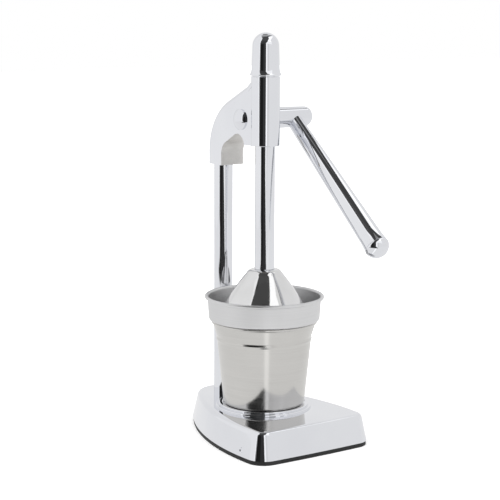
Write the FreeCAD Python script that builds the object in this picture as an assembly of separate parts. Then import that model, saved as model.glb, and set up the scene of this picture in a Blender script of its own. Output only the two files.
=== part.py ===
import FreeCAD, Part
import math
import os
from FreeCAD import Vector

# Lever citrus press, in millimetres. +Z is up and the front faces -Y.
# The origin is on the plunger's axis, on the surface that the press stands on.
# The pivot shaft lies along X, with the lever on the +X side of the head.

# Clearances
slip = 0.05          # radial, between a shaft and the bush or bore that it turns or slides in
seat_gap = 0.1       # along the axis, between faces that turn on each other
free_gap = 0.5       # around pieces that pass each other without touching

# Base
base_half_width = 66.0
base_widest_y = -55.0
base_side_radius = 260.0
base_front_y = -86.0
base_front_bow = 1.5
base_rear_reach = 29.0
base_corner_radius = 17.0
base_draft = 5.5
base_wall = 3.0
base_deck = 4.0
base_deck_z = 29.5
base_edge_radius = 5.0
mat_thickness = 4.0
mat_lip_height = 5.0
mat_lip_width = 2.5
mat_inset = 0.5
base_screw_radius = 2.0
base_screw_head_radius = 3.8
base_screw_length = 14.0
base_screw_head_height = 2.0
screw_post_radius = 5.0
dimple_radius = 2.3
dimple_depth = 0.7
dimple_y = -56.0
dimple_z = 9.5

# Round seat for the cup, on top of the base
seat_outer_radius = 45.0
seat_outer_height = 1.8
seat_inner_radius = 42.4
seat_inner_height = 3.6
seat_recess_depth = 0.8
seat_recess_slope = 0.8
seat_edge_chamfer = 0.6

# Column
column_radius = 9.1
column_rim_gap = 3.6
column_foot_depth = 12.0
column_stud_radius = 5.0
column_stud_length = 13.0
column_boss_radius = 16.0
column_boss_floor = 4.0
column_washer_radius = 12.0
column_washer_thickness = 1.6
column_nut_flats = 17.0
column_nut_height = 6.5

# Head casting
head_half_width = 12.7
head_edge_radius = 7.5
head_slope = math.radians(26.0)
head_slope_y = 6.5
head_slope_z = 336.0
head_crown_radius = 55.0
head_rear_reach = 10.8
leg_front_reach = 15.0
leg_bottom_z = 253.5
leg_bore_depth = 21.5
barrel_wall = 2.1
barrel_bottom_z = 276.2
barrel_top_z = 340.0
notch_near_y = 16.4
notch_apex_y = 27.5
notch_apex_z = 285.7

# Rack and pinion
pivot_z = 299.4
rack_pitch_depth = 2.3
gear_module = 1.5
pinion_teeth = 20
pressure_angle = math.radians(20.0)
gear_backlash = 0.16
pinion_width = 9.5
pocket_half_width = 5.4
lever_swing = math.radians(160.0)

# Shaft, its bushes and its cover
shaft_radius = 6.0
shaft_bush_radius = 8.4
shaft_end_x = 37.0
shaft_key_width = 3.0
ring_groove_depth = 0.8
ring_thickness = 1.0
ring_radius = 7.6
cover_radius = 9.7
cover_seat_depth = 1.2
cover_height = 5.0
cover_wall = 1.2
thrust_washer_radius = 9.4
thrust_washer_thickness = 1.0

# Lever
hub_radius = 10.5
hub_tip_radius = 9.5
hub_end_x = 67.5
hub_end_radius = 7.0
hub_pin_radius = 2.0
hub_pin_x = 28.0
arm_x = 46.5
arm_drop = math.radians(39.6)
arm_root_radius = 7.35
arm_tip_radius = 10.5
arm_flare_radius = 11.5
arm_flare_length = 15.0
arm_length = 168.0
arm_wall = 1.6
arm_socket_start = 2.5
end_cap_height = 10.5
end_cap_spigot = 7.0

# Plunger
rod_radius = 9.3
rod_bottom_z = 160.6
rod_top_z = 325.0
bell_washer_radius = 8.2
bell_washer_thickness = 1.6
bell_height = 47.0
bell_shoulder_radius = 11.8
bell_waist_radius = 16.8
bell_waist_drop = 3.2
bell_lower_radius = 37.0
bell_lower_drop = 34.8
bell_bulge = 1.3
bell_rim_radius = 39.0
bell_wall = 1.8
bell_boss_radius = 8.0
bell_boss_length = 5.0
bell_screw_radius = 3.0
bell_screw_head_radius = 5.6
bell_screw_head_height = 3.2
bell_screw_length = 18.0

# Guide bushes and the cap
guide_bush_wall = 2.1
guide_bush_length = 9.5
upper_bush_z = 319.5
cap_lip_overhang = 1.2
cap_lip_height = 3.4
cap_body_setback = 0.4
cap_body_taper = 0.8
cap_top_z = 380.0
cap_bore_gap = 0.9
cap_crown_wall = 2.4
cap_spigot_length = 6.0

# Juice cup
cup_wall = 0.9
cup_foot_radius = 38.2
cup_foot_corner = 3.0
cup_crease_z = 97.0
cup_crease_radius = 44.6
cup_mouth_z = 110.6
cup_mouth_radius = 48.8
cup_lip_roll = 1.3

# Strainer bowl
bowl_wall = 0.9
bowl_rim_z = 134.6
bowl_rim_roll = 1.6
bowl_rim_overhang = 1.1
bowl_band_flare = 1.4
bowl_band_overhang = 3.4
bowl_band_corner = 2.0
bowl_nest_gap = 0.35
bowl_ledge_gap = 0.3
bowl_floor_z = 92.5
bowl_floor_chamfer = 3.0
drain_slots = 28
drain_slot_width = 2.2
drain_slot_start = 27.0
drain_slot_length = 10.0

# Reamer
reamer_flange_radius = 25.0
reamer_flange_thickness = 1.2
reamer_base_radius = 22.0
reamer_top_z = 140.0
reamer_tip_radius = 4.0
reamer_bulge = 0.72
reamer_wall = 3.2
reamer_flutes = 10
reamer_flute_radius = 3.4
reamer_flute_offset = 2.6
reamer_flute_start = 1.2
reamer_spigot_radius = 7.0

# Share of a round's radius by which its middle stands back from the sharp corner
round_share = 1.0 - math.sqrt(0.5)

# Values worked out from the ones above
pinion_pitch_radius = gear_module * pinion_teeth / 2.0
pinion_tip_radius = pinion_pitch_radius + gear_module
rack_pitch_y = rod_radius - rack_pitch_depth
pivot_y = rack_pitch_y + pinion_pitch_radius
rack_pitch = math.pi * gear_module
plunger_travel = pinion_pitch_radius * lever_swing
seat_floor_z = base_deck_z + seat_inner_height - seat_recess_depth
cup_foot_z = seat_floor_z + seat_gap
cup_lip_top_z = cup_mouth_z + cup_lip_roll * 1.6
base_ceiling_z = base_deck_z - base_deck
column_foot_z = base_deck_z - column_foot_depth
column_boss_z = column_foot_z - column_boss_floor
column_top_z = leg_bottom_z + leg_bore_depth
bell_top_z = rod_bottom_z - bell_washer_thickness
bell_rim_z = bell_top_z - bell_height
barrel_bore_radius = rod_radius + guide_bush_wall
barrel_radius = barrel_bore_radius + barrel_wall
cap_bore_radius = rod_radius + cap_bore_gap
cap_lip_radius = barrel_radius + cap_lip_overhang
cap_body_radius = barrel_radius - cap_body_setback
cap_shoulder_radius = cap_body_radius - cap_body_taper
bowl_band_radius = cup_mouth_radius + bowl_band_overhang
bowl_band_top_radius = bowl_band_radius + bowl_band_flare
bowl_rim_radius = bowl_band_top_radius + bowl_rim_overhang
column_y = bowl_rim_radius + bowl_rim_roll + column_rim_gap + column_radius
head_rear_y = column_y + head_rear_reach
leg_front_y = column_y - leg_front_reach
base_rear_y = column_y + base_rear_reach
base_screw_places = ((-44.0, -64.0), (44.0, -64.0), (-31.0, 38.0), (31.0, 38.0))


def path(start, *steps):
    """Edges from start on, in a plane's own pair of coordinates. A step is a point, or a
    pair of points for an arc through the first that ends at the second."""
    edges = []
    here = Vector(start[0], start[1], 0)
    for step in steps:
        if isinstance(step[0], tuple):
            middle = Vector(step[0][0], step[0][1], 0)
            there = Vector(step[1][0], step[1][1], 0)
            edges.append(Part.Arc(here, middle, there).toShape())
        else:
            there = Vector(step[0], step[1], 0)
            edges.append(Part.LineSegment(here, there).toShape())
        here = there
    return Part.Wire(edges)


def closed_face(start, *steps):
    """Face inside the closed outline that path() draws back to its start."""
    last = steps[-1][1] if isinstance(steps[-1][0], tuple) else steps[-1]
    if last != start:
        steps = steps + (start,)
    return Part.Face(path(start, *steps))


def crown(radius, low, high):
    """Step for path(): the arc of a ball that closes over the axis, from radius at low."""
    height = high - low
    ball = (radius ** 2 + height ** 2) / (2.0 * height)
    half = math.acos((ball - height) / ball) / 2.0
    return (ball * math.sin(half), high - ball + ball * math.cos(half)), (0.0, high)


def soft_edge(radius, top, soft):
    """Two steps for path(): up to an outer edge, and over the round that softens it."""
    back = soft * round_share
    return (radius, top - soft), ((radius - back, top - back), (radius - soft, top))


def turned(face, x=0.0, y=0.0):
    """Solid of a profile in (radius, height), turned about the vertical line at x, y."""
    profile = face.copy()
    profile.rotate(Vector(0, 0, 0), Vector(1, 0, 0), 90)
    solid = profile.revolve(Vector(0, 0, 0), Vector(0, 0, 1), 360)
    solid.translate(Vector(x, y, 0))
    return solid


def laid_along_x(shape, y, z):
    """Shape whose own vertical axis is laid along +X, through the point at y, z."""
    laid = shape.copy()
    laid.rotate(Vector(0, 0, 0), Vector(0, 1, 0), 90)
    laid.translate(Vector(0, y, z))
    return laid


def post(radius, low, high, x=0.0, y=0.0):
    return Part.makeCylinder(radius, high - low, Vector(x, y, low), Vector(0, 0, 1))


def bar_along_x(radius, low, high, y=pivot_y, z=pivot_z):
    return Part.makeCylinder(radius, high - low, Vector(low, y, z), Vector(1, 0, 0))


def side_prism(face, low, high):
    """Prism of a profile drawn in (y, z), from x = low to x = high."""
    prism = face.copy()
    prism.rotate(Vector(0, 0, 0), Vector(1, 1, 1), 120)
    prism.translate(Vector(low, 0, 0))
    return prism.extrude(Vector(high - low, 0, 0))


def sheet(wire, thickness):
    """Strip of even thickness inside a profile that is drawn from the axis outwards."""
    return wire.makeOffset2D(-thickness, 0, True, True)


def ring(inner, outer, low, high, x=0.0, y=0.0):
    return post(outer, low, high, x, y).cut(post(inner, low, high, x, y))


def single(shape):
    """The one solid of a boolean's result, with its split faces joined."""
    return shape.removeSplitter().Solids[0]


def base_core():
    """Sharp-cornered outline of the base, drawn in by the corner radius. Offset outwards
    again, it gives every outline of the base with round front corners."""
    side_x = base_half_width - base_side_radius
    rear_reach = base_rear_y - base_widest_y
    rear_radius = (base_side_radius ** 2 - side_x ** 2 - rear_reach ** 2)
    rear_radius = rear_radius / (2.0 * (base_side_radius - rear_reach))
    rear_y = base_rear_y - rear_radius
    toward_rear = math.atan2(rear_y - base_widest_y, -side_x)
    join_x = rear_radius * math.cos(toward_rear)
    join_y = rear_y + rear_radius * math.sin(toward_rear)
    corner_y = base_front_y + base_front_bow
    rise = math.sqrt(base_side_radius ** 2 - (corner_y - base_widest_y) ** 2)
    corner_x = side_x + rise
    outline = path(
        (-corner_x, corner_y),
        ((0.0, base_front_y), (corner_x, corner_y)),
        ((base_half_width, base_widest_y), (join_x, join_y)),
        ((0.0, base_rear_y), (-join_x, join_y)),
        ((-base_half_width, base_widest_y), (-corner_x, corner_y)),
    )
    return outline.makeOffset2D(-base_corner_radius, 2)


def base_outline(inset, height):
    """Outline of the base at a height, set in from its lower edge by inset."""
    wire = base_core().makeOffset2D(base_corner_radius - inset, 0)
    wire.translate(Vector(0, 0, height))
    return wire


def base_body(inset, low, high):
    """Drafted block between two heights, all round inside the base's outside by inset."""
    span = base_deck_z - mat_thickness
    at_low = base_draft * (low - mat_thickness) / span
    at_high = base_draft * (high - mat_thickness) / span
    return Part.makeLoft(
        [base_outline(inset + at_low, low), base_outline(inset + at_high, high)], True, True
    )


def make_base_shell():
    outside = base_body(0.0, mat_thickness, base_deck_z)
    rim = [e for e in outside.Edges if e.BoundBox.ZMin > base_deck_z - 0.01]
    outside = outside.makeFillet(base_edge_radius, rim)
    inside = base_body(base_wall, mat_thickness, base_ceiling_z)
    shell = outside.cut(inside)
    boss = post(column_boss_radius, column_boss_z, base_ceiling_z + 1.0, 0, column_y)
    posts = [
        post(screw_post_radius, mat_thickness, base_ceiling_z + 1.0, x, y)
        for x, y in base_screw_places
    ]
    seat = turned(closed_face(
        (0.0, base_deck_z - 1.0),
        (seat_outer_radius, base_deck_z - 1.0),
        (seat_outer_radius, base_deck_z + seat_outer_height - seat_edge_chamfer),
        (seat_outer_radius - seat_edge_chamfer, base_deck_z + seat_outer_height),
        (seat_inner_radius, base_deck_z + seat_outer_height),
        (seat_inner_radius, base_deck_z + seat_inner_height - seat_edge_chamfer),
        (seat_inner_radius - seat_edge_chamfer, base_deck_z + seat_inner_height),
        (cup_foot_radius + free_gap + seat_recess_slope, base_deck_z + seat_inner_height),
        (cup_foot_radius + free_gap, seat_floor_z),
        (0.0, seat_floor_z),
    ))
    shell = shell.fuse([boss, seat] + posts)
    cuts = [
        post(column_radius, column_foot_z, base_deck_z + 1.0, 0, column_y),
        post(column_stud_radius + slip, column_boss_z - 1.0, column_foot_z, 0, column_y),
    ]
    for x, y in base_screw_places:
        cuts.append(post(base_screw_radius, mat_thickness - 1.0,
                         base_screw_head_height + base_screw_length, x, y))
    wall_x = -(base_half_width - base_draft * (dimple_z - mat_thickness)
               / (base_deck_z - mat_thickness))
    cuts.append(bar_along_x(dimple_radius, wall_x - 2.0, wall_x + dimple_depth,
                            dimple_y, dimple_z))
    return single(shell.cut(cuts))


def make_base_mat():
    """Rubber sole: a flat sheet with a lip that stands inside the base's wall."""
    sole = Part.Face(base_outline(mat_inset, 0.0)).extrude(Vector(0, 0, mat_thickness))
    lip_top = mat_thickness + mat_lip_height
    lip = base_body(base_wall + 0.3, mat_thickness, lip_top)
    lip = lip.cut(base_body(base_wall + 0.3 + mat_lip_width, mat_thickness, lip_top))
    holes = []
    for x, y in base_screw_places:
        holes.append(post(base_screw_radius + 0.2, -1.0, mat_thickness + 1.0, x, y))
        holes.append(post(base_screw_head_radius + 0.2, -1.0, base_screw_head_height, x, y))
    return single(sole.fuse(lip).cut(holes))


def make_base_screws():
    """Four pan screws that hold the sole to the posts of the base."""
    screws = []
    for x, y in base_screw_places:
        head = post(base_screw_head_radius, base_screw_head_height - 1.4,
                    base_screw_head_height, x, y)
        shank = post(base_screw_radius, base_screw_head_height,
                     base_screw_head_height + base_screw_length - 1.0, x, y)
        screws.append(single(head.fuse(shank)))
    return Part.makeCompound(screws)


def make_column():
    """Round bar with a stud at its foot, chamfered where it enters the head."""
    bar = turned(closed_face(
        (0.0, column_foot_z - column_stud_length),
        (column_stud_radius, column_foot_z - column_stud_length),
        (column_stud_radius, column_foot_z),
        (column_radius, column_foot_z),
        (column_radius, column_top_z - 1.0),
        (column_radius - 1.0, column_top_z),
        (0.0, column_top_z),
    ), 0, column_y)
    return bar


def make_column_washer():
    top = column_boss_z
    return ring(column_stud_radius + 0.3, column_washer_radius,
                top - column_washer_thickness, top, 0, column_y)


def make_column_nut():
    top = column_boss_z - column_washer_thickness
    low = top - column_nut_height
    reach = column_nut_flats / math.sqrt(3.0)
    corners = []
    for i in range(7):
        turn = math.pi / 3.0 * i
        corners.append(Vector(reach * math.cos(turn), column_y + reach * math.sin(turn), low))
    nut = Part.Face(Part.makePolygon(corners)).extrude(Vector(0, 0, column_nut_height))
    return nut.cut(post(column_stud_radius, low, top, 0, column_y))


def head_profile():
    """Side outline of the head: the slope behind the barrel, the crown and the leg."""
    crown_y = head_rear_y - head_crown_radius
    turn = math.pi / 2.0 - head_slope
    start_y = crown_y + head_crown_radius * math.cos(turn)
    start_z = head_slope_z - (start_y - head_slope_y) * math.tan(head_slope)
    crown_z = start_z - head_crown_radius * math.sin(turn)
    middle_y = crown_y + head_crown_radius * math.cos(turn / 2.0)
    middle_z = crown_z + head_crown_radius * math.sin(turn / 2.0)
    slope_top_z = head_slope_z + head_slope_y * math.tan(head_slope)
    return closed_face(
        (0.0, slope_top_z),
        (start_y, start_z),
        ((middle_y, middle_z), (head_rear_y, crown_z)),
        (head_rear_y, leg_bottom_z),
        (0.0, leg_bottom_z),
    )


def notch_profile():
    """Arched opening between the barrel and the leg, open below."""
    low = leg_bottom_z - 5.0
    return closed_face(
        (notch_near_y, low),
        (notch_near_y, barrel_bottom_z + 1.5),
        ((notch_near_y + 2.6, notch_apex_z - 3.6), (notch_apex_y - 3.5, notch_apex_z - 0.3)),
        ((notch_apex_y + 0.8, notch_apex_z), (notch_apex_y + 5.0, notch_apex_z - 1.4)),
        (leg_front_y - 7.5, notch_apex_z - 9.2),
        ((leg_front_y - 2.1, notch_apex_z - 13.8), (leg_front_y, notch_apex_z - 20.5)),
        (leg_front_y, low),
    )


def make_head_casting():
    block = side_prism(head_profile(), -head_half_width, head_half_width)
    round_edges = []
    for e in block.Edges:
        on_side = abs(abs(e.CenterOfMass.x) - head_half_width) < 0.01
        box = e.BoundBox
        on_rear = box.YMin > head_rear_y - 0.01
        on_top = box.ZMin > leg_bottom_z + 1.0 and box.YMax > head_slope_y and box.YLength > 1.0
        if on_side and (on_rear or on_top):
            round_edges.append(e)
    block = block.makeFillet(head_edge_radius, round_edges)
    below_web = Part.makeBox(60.0, notch_near_y + 1.0, barrel_bottom_z - leg_bottom_z + 1.0,
                             Vector(-30.0, -0.5, leg_bottom_z - 1.0))
    block = block.cut([side_prism(notch_profile(), -30.0, 30.0), below_web])
    barrel = post(barrel_radius, barrel_bottom_z, barrel_top_z)
    body = block.fuse(barrel)
    pocket_radius = pinion_tip_radius + free_gap
    pocket = bar_along_x(pocket_radius, -pocket_half_width, pocket_half_width)
    mouth = Part.makeBox(2.0 * pocket_half_width, pivot_y + pocket_radius - notch_near_y,
                         pivot_z - notch_apex_z + 12.0,
                         Vector(-pocket_half_width, notch_near_y, notch_apex_z - 12.0))
    cuts = [
        post(barrel_bore_radius, barrel_bottom_z - 1.0, barrel_top_z + 1.0),
        pocket,
        mouth,
        bar_along_x(shaft_bush_radius, -head_half_width - 1.0, head_half_width + 1.0),
        bar_along_x(cover_radius + slip, -head_half_width - 1.0,
                    -head_half_width + cover_seat_depth),
        post(column_radius, leg_bottom_z - 1.0, column_top_z + 0.3, 0, column_y),
    ]
    return single(body.cut(cuts))


def guide_bush(low):
    return ring(rod_radius + slip, barrel_bore_radius, low, low + guide_bush_length)


def make_top_cap():
    """Domed cap: a beaded lip on the barrel, a tapered body and a round crown, hollow for
    the rod, with a spigot that fits the barrel's bore."""
    lip_top = barrel_top_z + cap_lip_height
    shoulder_z = cap_top_z - cap_shoulder_radius
    outer = closed_face(
        (0.0, barrel_top_z - cap_spigot_length),
        (barrel_bore_radius, barrel_top_z - cap_spigot_length),
        (barrel_bore_radius, barrel_top_z),
        (cap_lip_radius - 0.5, barrel_top_z),
        ((cap_lip_radius, barrel_top_z + cap_lip_height / 2.0), (cap_lip_radius - 0.5, lip_top)),
        (cap_body_radius, lip_top + 0.6),
        (cap_shoulder_radius, shoulder_z),
        crown(cap_shoulder_radius, shoulder_z, cap_top_z),
    )
    bore_top = cap_top_z - cap_crown_wall
    bore = closed_face(
        (0.0, barrel_top_z - cap_spigot_length - 1.0),
        (cap_bore_radius, barrel_top_z - cap_spigot_length - 1.0),
        (cap_bore_radius, bore_top - cap_bore_radius),
        crown(cap_bore_radius, bore_top - cap_bore_radius, bore_top),
    )
    return single(turned(outer).cut(turned(bore)))


def make_shaft_bushes():
    left = bar_along_x(shaft_bush_radius, -head_half_width + cover_seat_depth,
                       -pocket_half_width)
    right = bar_along_x(shaft_bush_radius, pocket_half_width, head_half_width)
    bore = bar_along_x(shaft_radius + slip, -40.0, 40.0)
    return Part.makeCompound([left.cut(bore), right.cut(bore)])


def make_pinion_shaft():
    """Stepped shaft with a keyway under the pinion and a groove for the retaining ring."""
    ring_x = -head_half_width + cover_seat_depth - seat_gap
    end_x = ring_x - ring_thickness - 1.4
    shaft = bar_along_x(shaft_radius, end_x, shaft_end_x)
    groove = bar_along_x(shaft_radius + 1.0, ring_x - ring_thickness, ring_x)
    groove = groove.cut(bar_along_x(shaft_radius - ring_groove_depth,
                                    ring_x - ring_thickness, ring_x))
    pin_hole = Part.makeCylinder(hub_pin_radius, 40.0, Vector(hub_pin_x, pivot_y, pivot_z - 20.0),
                                 Vector(0, 0, 1))
    return single(shaft.cut([groove, key_block(), pin_hole]))


def key_block():
    """Square key between the shaft and the pinion."""
    half = shaft_key_width / 2.0
    length = pinion_width - 1.0
    return Part.makeBox(length, shaft_key_width, shaft_key_width,
                        Vector(-length / 2.0, pivot_y - half, pivot_z + shaft_radius - half))


def involute_flank(base_radius, low, high, steps):
    """Polar points of an involute between two radii, with the angle counted from where the
    curve leaves its base circle."""
    points = []
    for i in range(steps + 1):
        radius = low + (high - low) * i / steps
        roll = math.sqrt(max(0.0, (radius / base_radius) ** 2 - 1.0))
        points.append((radius, roll - math.atan(roll)))
    return points


def make_pinion():
    """Spur pinion with involute teeth. One tooth points straight at the rack."""
    base_radius = pinion_pitch_radius * math.cos(pressure_angle)
    root_radius = pinion_pitch_radius - 1.25 * gear_module
    flank_start = max(base_radius, root_radius)
    at_pitch = math.tan(pressure_angle) - pressure_angle
    half_tooth = (rack_pitch / 4.0 - gear_backlash / 4.0) / pinion_pitch_radius
    flank = involute_flank(base_radius, flank_start, pinion_tip_radius, 3)
    outline = []
    for k in range(pinion_teeth):
        centre = math.pi + 2.0 * math.pi * k / pinion_teeth
        left = [(root_radius, -half_tooth - at_pitch)]
        left += [(radius, angle - half_tooth - at_pitch) for radius, angle in flank]
        right = [(radius, -angle) for radius, angle in reversed(left)]
        for radius, angle in left + right:
            outline.append(Vector(0.0, pivot_y + radius * math.cos(centre + angle),
                                  pivot_z + radius * math.sin(centre + angle)))
    outline.append(outline[0])
    blank = Part.Face(Part.makePolygon(outline)).extrude(Vector(pinion_width, 0, 0))
    blank.translate(Vector(-pinion_width / 2.0, 0, 0))
    return single(blank.cut([bar_along_x(shaft_radius, -20.0, 20.0), key_block()]))


def make_retaining_ring():
    """Snap ring in the shaft's groove, open at one side."""
    ring_x = -head_half_width + cover_seat_depth - seat_gap
    body = bar_along_x(ring_radius, ring_x - ring_thickness, ring_x)
    body = body.cut(bar_along_x(shaft_radius - ring_groove_depth, ring_x - 5.0, ring_x + 5.0))
    gap = Part.makeBox(10.0, 20.0, 3.0, Vector(ring_x - 5.0, pivot_y, pivot_z - 1.5))
    return single(body.cut(gap))


def make_shaft_cover():
    """Domed cover over the shaft's blind end, seated in the head's counterbore."""
    start = head_half_width - cover_seat_depth
    rim = head_half_width + 1.2
    top = head_half_width + cover_height
    outer = closed_face(
        (0.0, start),
        (cover_radius, start),
        (cover_radius, rim),
        crown(cover_radius, rim, top),
    )
    inner_radius = cover_radius - cover_wall
    hollow = closed_face(
        (0.0, start - 1.0),
        (inner_radius, start - 1.0),
        (inner_radius, rim),
        crown(inner_radius, rim, top - cover_wall),
    )
    cover = turned(outer).cut(turned(hollow))
    cover.rotate(Vector(0, 0, 0), Vector(1, 0, 0), 180)
    return laid_along_x(cover, pivot_y, pivot_z)


def hub_start_x():
    return head_half_width + thrust_washer_thickness + seat_gap


def make_thrust_washer():
    washer = bar_along_x(thrust_washer_radius, head_half_width,
                         head_half_width + thrust_washer_thickness)
    return washer.cut(bar_along_x(shaft_radius + 0.2, head_half_width - 1.0, 20.0))


def arm_pose(shape):
    """Shape drawn upwards from the pivot, laid along the lever at rest."""
    laid = shape.copy()
    laid.rotate(Vector(0, 0, 0), Vector(1, 0, 0), math.degrees(arm_drop) + 90.0)
    laid.translate(Vector(arm_x, pivot_y, pivot_z))
    return laid


def make_lever_hub():
    """Hub with a rounded free end, bored for the shaft and socketed for the arm."""
    start = hub_start_x()
    body = turned(closed_face(
        (0.0, start),
        (hub_radius - 0.8, start),
        (hub_radius, start + 0.8),
        *soft_edge(hub_tip_radius, hub_end_x, hub_end_radius),
        (0.0, hub_end_x),
    ))
    body = laid_along_x(body, pivot_y, pivot_z)
    socket = arm_pose(post(arm_root_radius, arm_socket_start, 30.0))
    cuts = [bar_along_x(shaft_radius, start - 1.0, shaft_end_x + 0.5), socket, hub_pin_bar()]
    return single(body.cut(cuts))


def hub_pin_bar():
    reach = hub_radius - 0.6
    return Part.makeCylinder(hub_pin_radius, 2.0 * reach,
                             Vector(hub_pin_x, pivot_y, pivot_z - reach), Vector(0, 0, 1))


def make_lever_arm():
    """Tapered tube with a closed root in the hub's socket and a flared end."""
    taper_start = 12.0
    flare_start = arm_length - arm_flare_length
    bore_start = 16.0
    outer = closed_face(
        (0.0, arm_socket_start),
        (arm_root_radius, arm_socket_start),
        (arm_root_radius, taper_start),
        (arm_tip_radius, flare_start),
        ((arm_tip_radius + 0.3, flare_start + arm_flare_length / 2.0),
         (arm_flare_radius, arm_length)),
        (0.0, arm_length),
    )
    bore = closed_face(
        (0.0, bore_start),
        (arm_root_radius - arm_wall, bore_start),
        (arm_tip_radius - arm_wall, flare_start),
        (arm_tip_radius - arm_wall, arm_length + 1.0),
        (0.0, arm_length + 1.0),
    )
    return arm_pose(single(turned(outer).cut(turned(bore))))


def make_lever_end_cap():
    """Domed plug pressed into the end of the arm."""
    plug_radius = arm_tip_radius - arm_wall
    body = closed_face(
        (0.0, arm_length - end_cap_spigot),
        (plug_radius, arm_length - end_cap_spigot),
        (plug_radius, arm_length),
        (arm_flare_radius, arm_length),
        (arm_flare_radius + 0.1, arm_length + 1.2),
        crown(arm_flare_radius + 0.1, arm_length + 1.2, arm_length + end_cap_height),
    )
    return arm_pose(turned(body))


def rack_tooth_spaces():
    """Spaces between the rack's teeth. One space is level with the pivot at rest."""
    tip_y = rack_pitch_y + gear_module
    root_y = rack_pitch_y - 1.25 * gear_module
    half = rack_pitch / 4.0 + gear_backlash / 4.0
    at_root = half - (rack_pitch_y - root_y) * math.tan(pressure_angle)
    at_tip = half + (tip_y + 2.0 - rack_pitch_y) * math.tan(pressure_angle)
    below = math.ceil((plunger_travel + 2.0 * rack_pitch) / rack_pitch)
    spaces = []
    for i in range(-below, 3):
        z = pivot_z + i * rack_pitch
        spaces.append(side_prism(closed_face(
            (root_y, z - at_root),
            (tip_y + 2.0, z - at_tip),
            (tip_y + 2.0, z + at_tip),
            (root_y, z + at_root),
        ), -rod_radius, rod_radius))
    low = pivot_z - (below + 0.5) * rack_pitch
    high = pivot_z + 2.5 * rack_pitch
    flat = Part.makeBox(2.0 * rod_radius, rod_radius, high - low,
                        Vector(-rod_radius, tip_y, low))
    return spaces + [flat]


def make_rack_rod():
    """Plunger rod with the rack cut in its rear side and a tapped hole in its foot."""
    rod = turned(closed_face(
        (bell_screw_radius, rod_bottom_z),
        (rod_radius - 0.6, rod_bottom_z),
        (rod_radius, rod_bottom_z + 0.6),
        (rod_radius, rod_top_z - 1.5),
        (rod_radius - 1.5, rod_top_z),
        (0.0, rod_top_z),
        (0.0, rod_bottom_z + bell_screw_length),
        (bell_screw_radius, rod_bottom_z + bell_screw_length),
    ))
    return single(rod.cut(rack_tooth_spaces()))


def make_bell_washer():
    return ring(bell_screw_radius + 0.2, bell_washer_radius, bell_top_z, rod_bottom_z)


def bell_outline(wall):
    """Closed profile of the bell, drawn in from the outside by a wall."""
    top = bell_top_z - wall
    low = bell_rim_z
    shoulder = bell_shoulder_radius
    waist_z = bell_top_z - bell_waist_drop
    lower_z = bell_top_z - bell_lower_drop
    lean = math.atan2(bell_lower_radius - bell_waist_radius, waist_z - lower_z)
    across = wall * math.cos(lean)
    down = wall * math.sin(lean)
    middle_radius = (bell_waist_radius + bell_lower_radius) / 2.0 + bell_bulge * math.cos(lean)
    middle_z = (waist_z + lower_z) / 2.0 + bell_bulge * math.sin(lean)
    return closed_face(
        (0.0, low),
        (bell_rim_radius - wall, low),
        ((bell_rim_radius - wall - 0.7, (low + lower_z) / 2.0),
         (bell_lower_radius - across, lower_z - down)),
        ((middle_radius - across, middle_z - down),
         (bell_waist_radius - across, waist_z - down)),
        ((shoulder + 2.3 - across / 2.0, bell_top_z - 0.8 - wall * 0.9), (shoulder, top)),
        (0.0, top),
    )


def make_press_bell():
    """Thin bell that comes down over the fruit, with a boss for its screw."""
    shell = turned(bell_outline(0.0)).cut(turned(bell_outline(bell_wall)))
    boss_low = bell_top_z - bell_wall - bell_boss_length
    shell = shell.fuse(post(bell_boss_radius, boss_low, bell_top_z - bell_wall / 2.0))
    return single(shell.cut(post(bell_screw_radius + 0.1, boss_low - 1.0, bell_top_z + 1.0)))


def make_bell_screw():
    head_top = bell_top_z - bell_wall - bell_boss_length
    head = post(bell_screw_head_radius, head_top - bell_screw_head_height, head_top)
    head = head.makeChamfer(1.2, [e for e in head.Edges if e.BoundBox.ZMax < head_top - 0.1
                                 and e.BoundBox.XLength > 1.0])
    shank = post(bell_screw_radius, head_top - 0.5, rod_bottom_z + bell_screw_length - 3.0)
    return single(head.fuse(shank))


def cup_profile():
    """Outer profile of the cup, from the middle of its floor to its mouth."""
    lean = math.atan2(cup_crease_radius - cup_foot_radius, cup_crease_z - cup_foot_z)
    corner = cup_foot_corner
    return path(
        (0.0, cup_foot_z),
        (cup_foot_radius - corner, cup_foot_z),
        ((cup_foot_radius - corner * round_share, cup_foot_z + corner * round_share),
         (cup_foot_radius + corner * math.tan(lean), cup_foot_z + corner)),
        (cup_crease_radius, cup_crease_z),
        (cup_mouth_radius, cup_mouth_z),
    )


def make_juice_cup():
    wall = turned(sheet(cup_profile(), cup_wall))
    roll = Part.makeTorus(cup_mouth_radius, cup_lip_roll,
                          Vector(0, 0, cup_lip_top_z - cup_lip_roll))
    return single(wall.fuse(roll))


def bowl_nest(height):
    """Outer radius of the bowl's lower part, which follows the cup's flared mouth."""
    lean = math.atan2(cup_mouth_radius - cup_crease_radius, cup_mouth_z - cup_crease_z)
    cup_outside = cup_crease_radius + (height - cup_crease_z) * math.tan(lean)
    return cup_outside - (cup_wall + bowl_nest_gap) / math.cos(lean)


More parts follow.
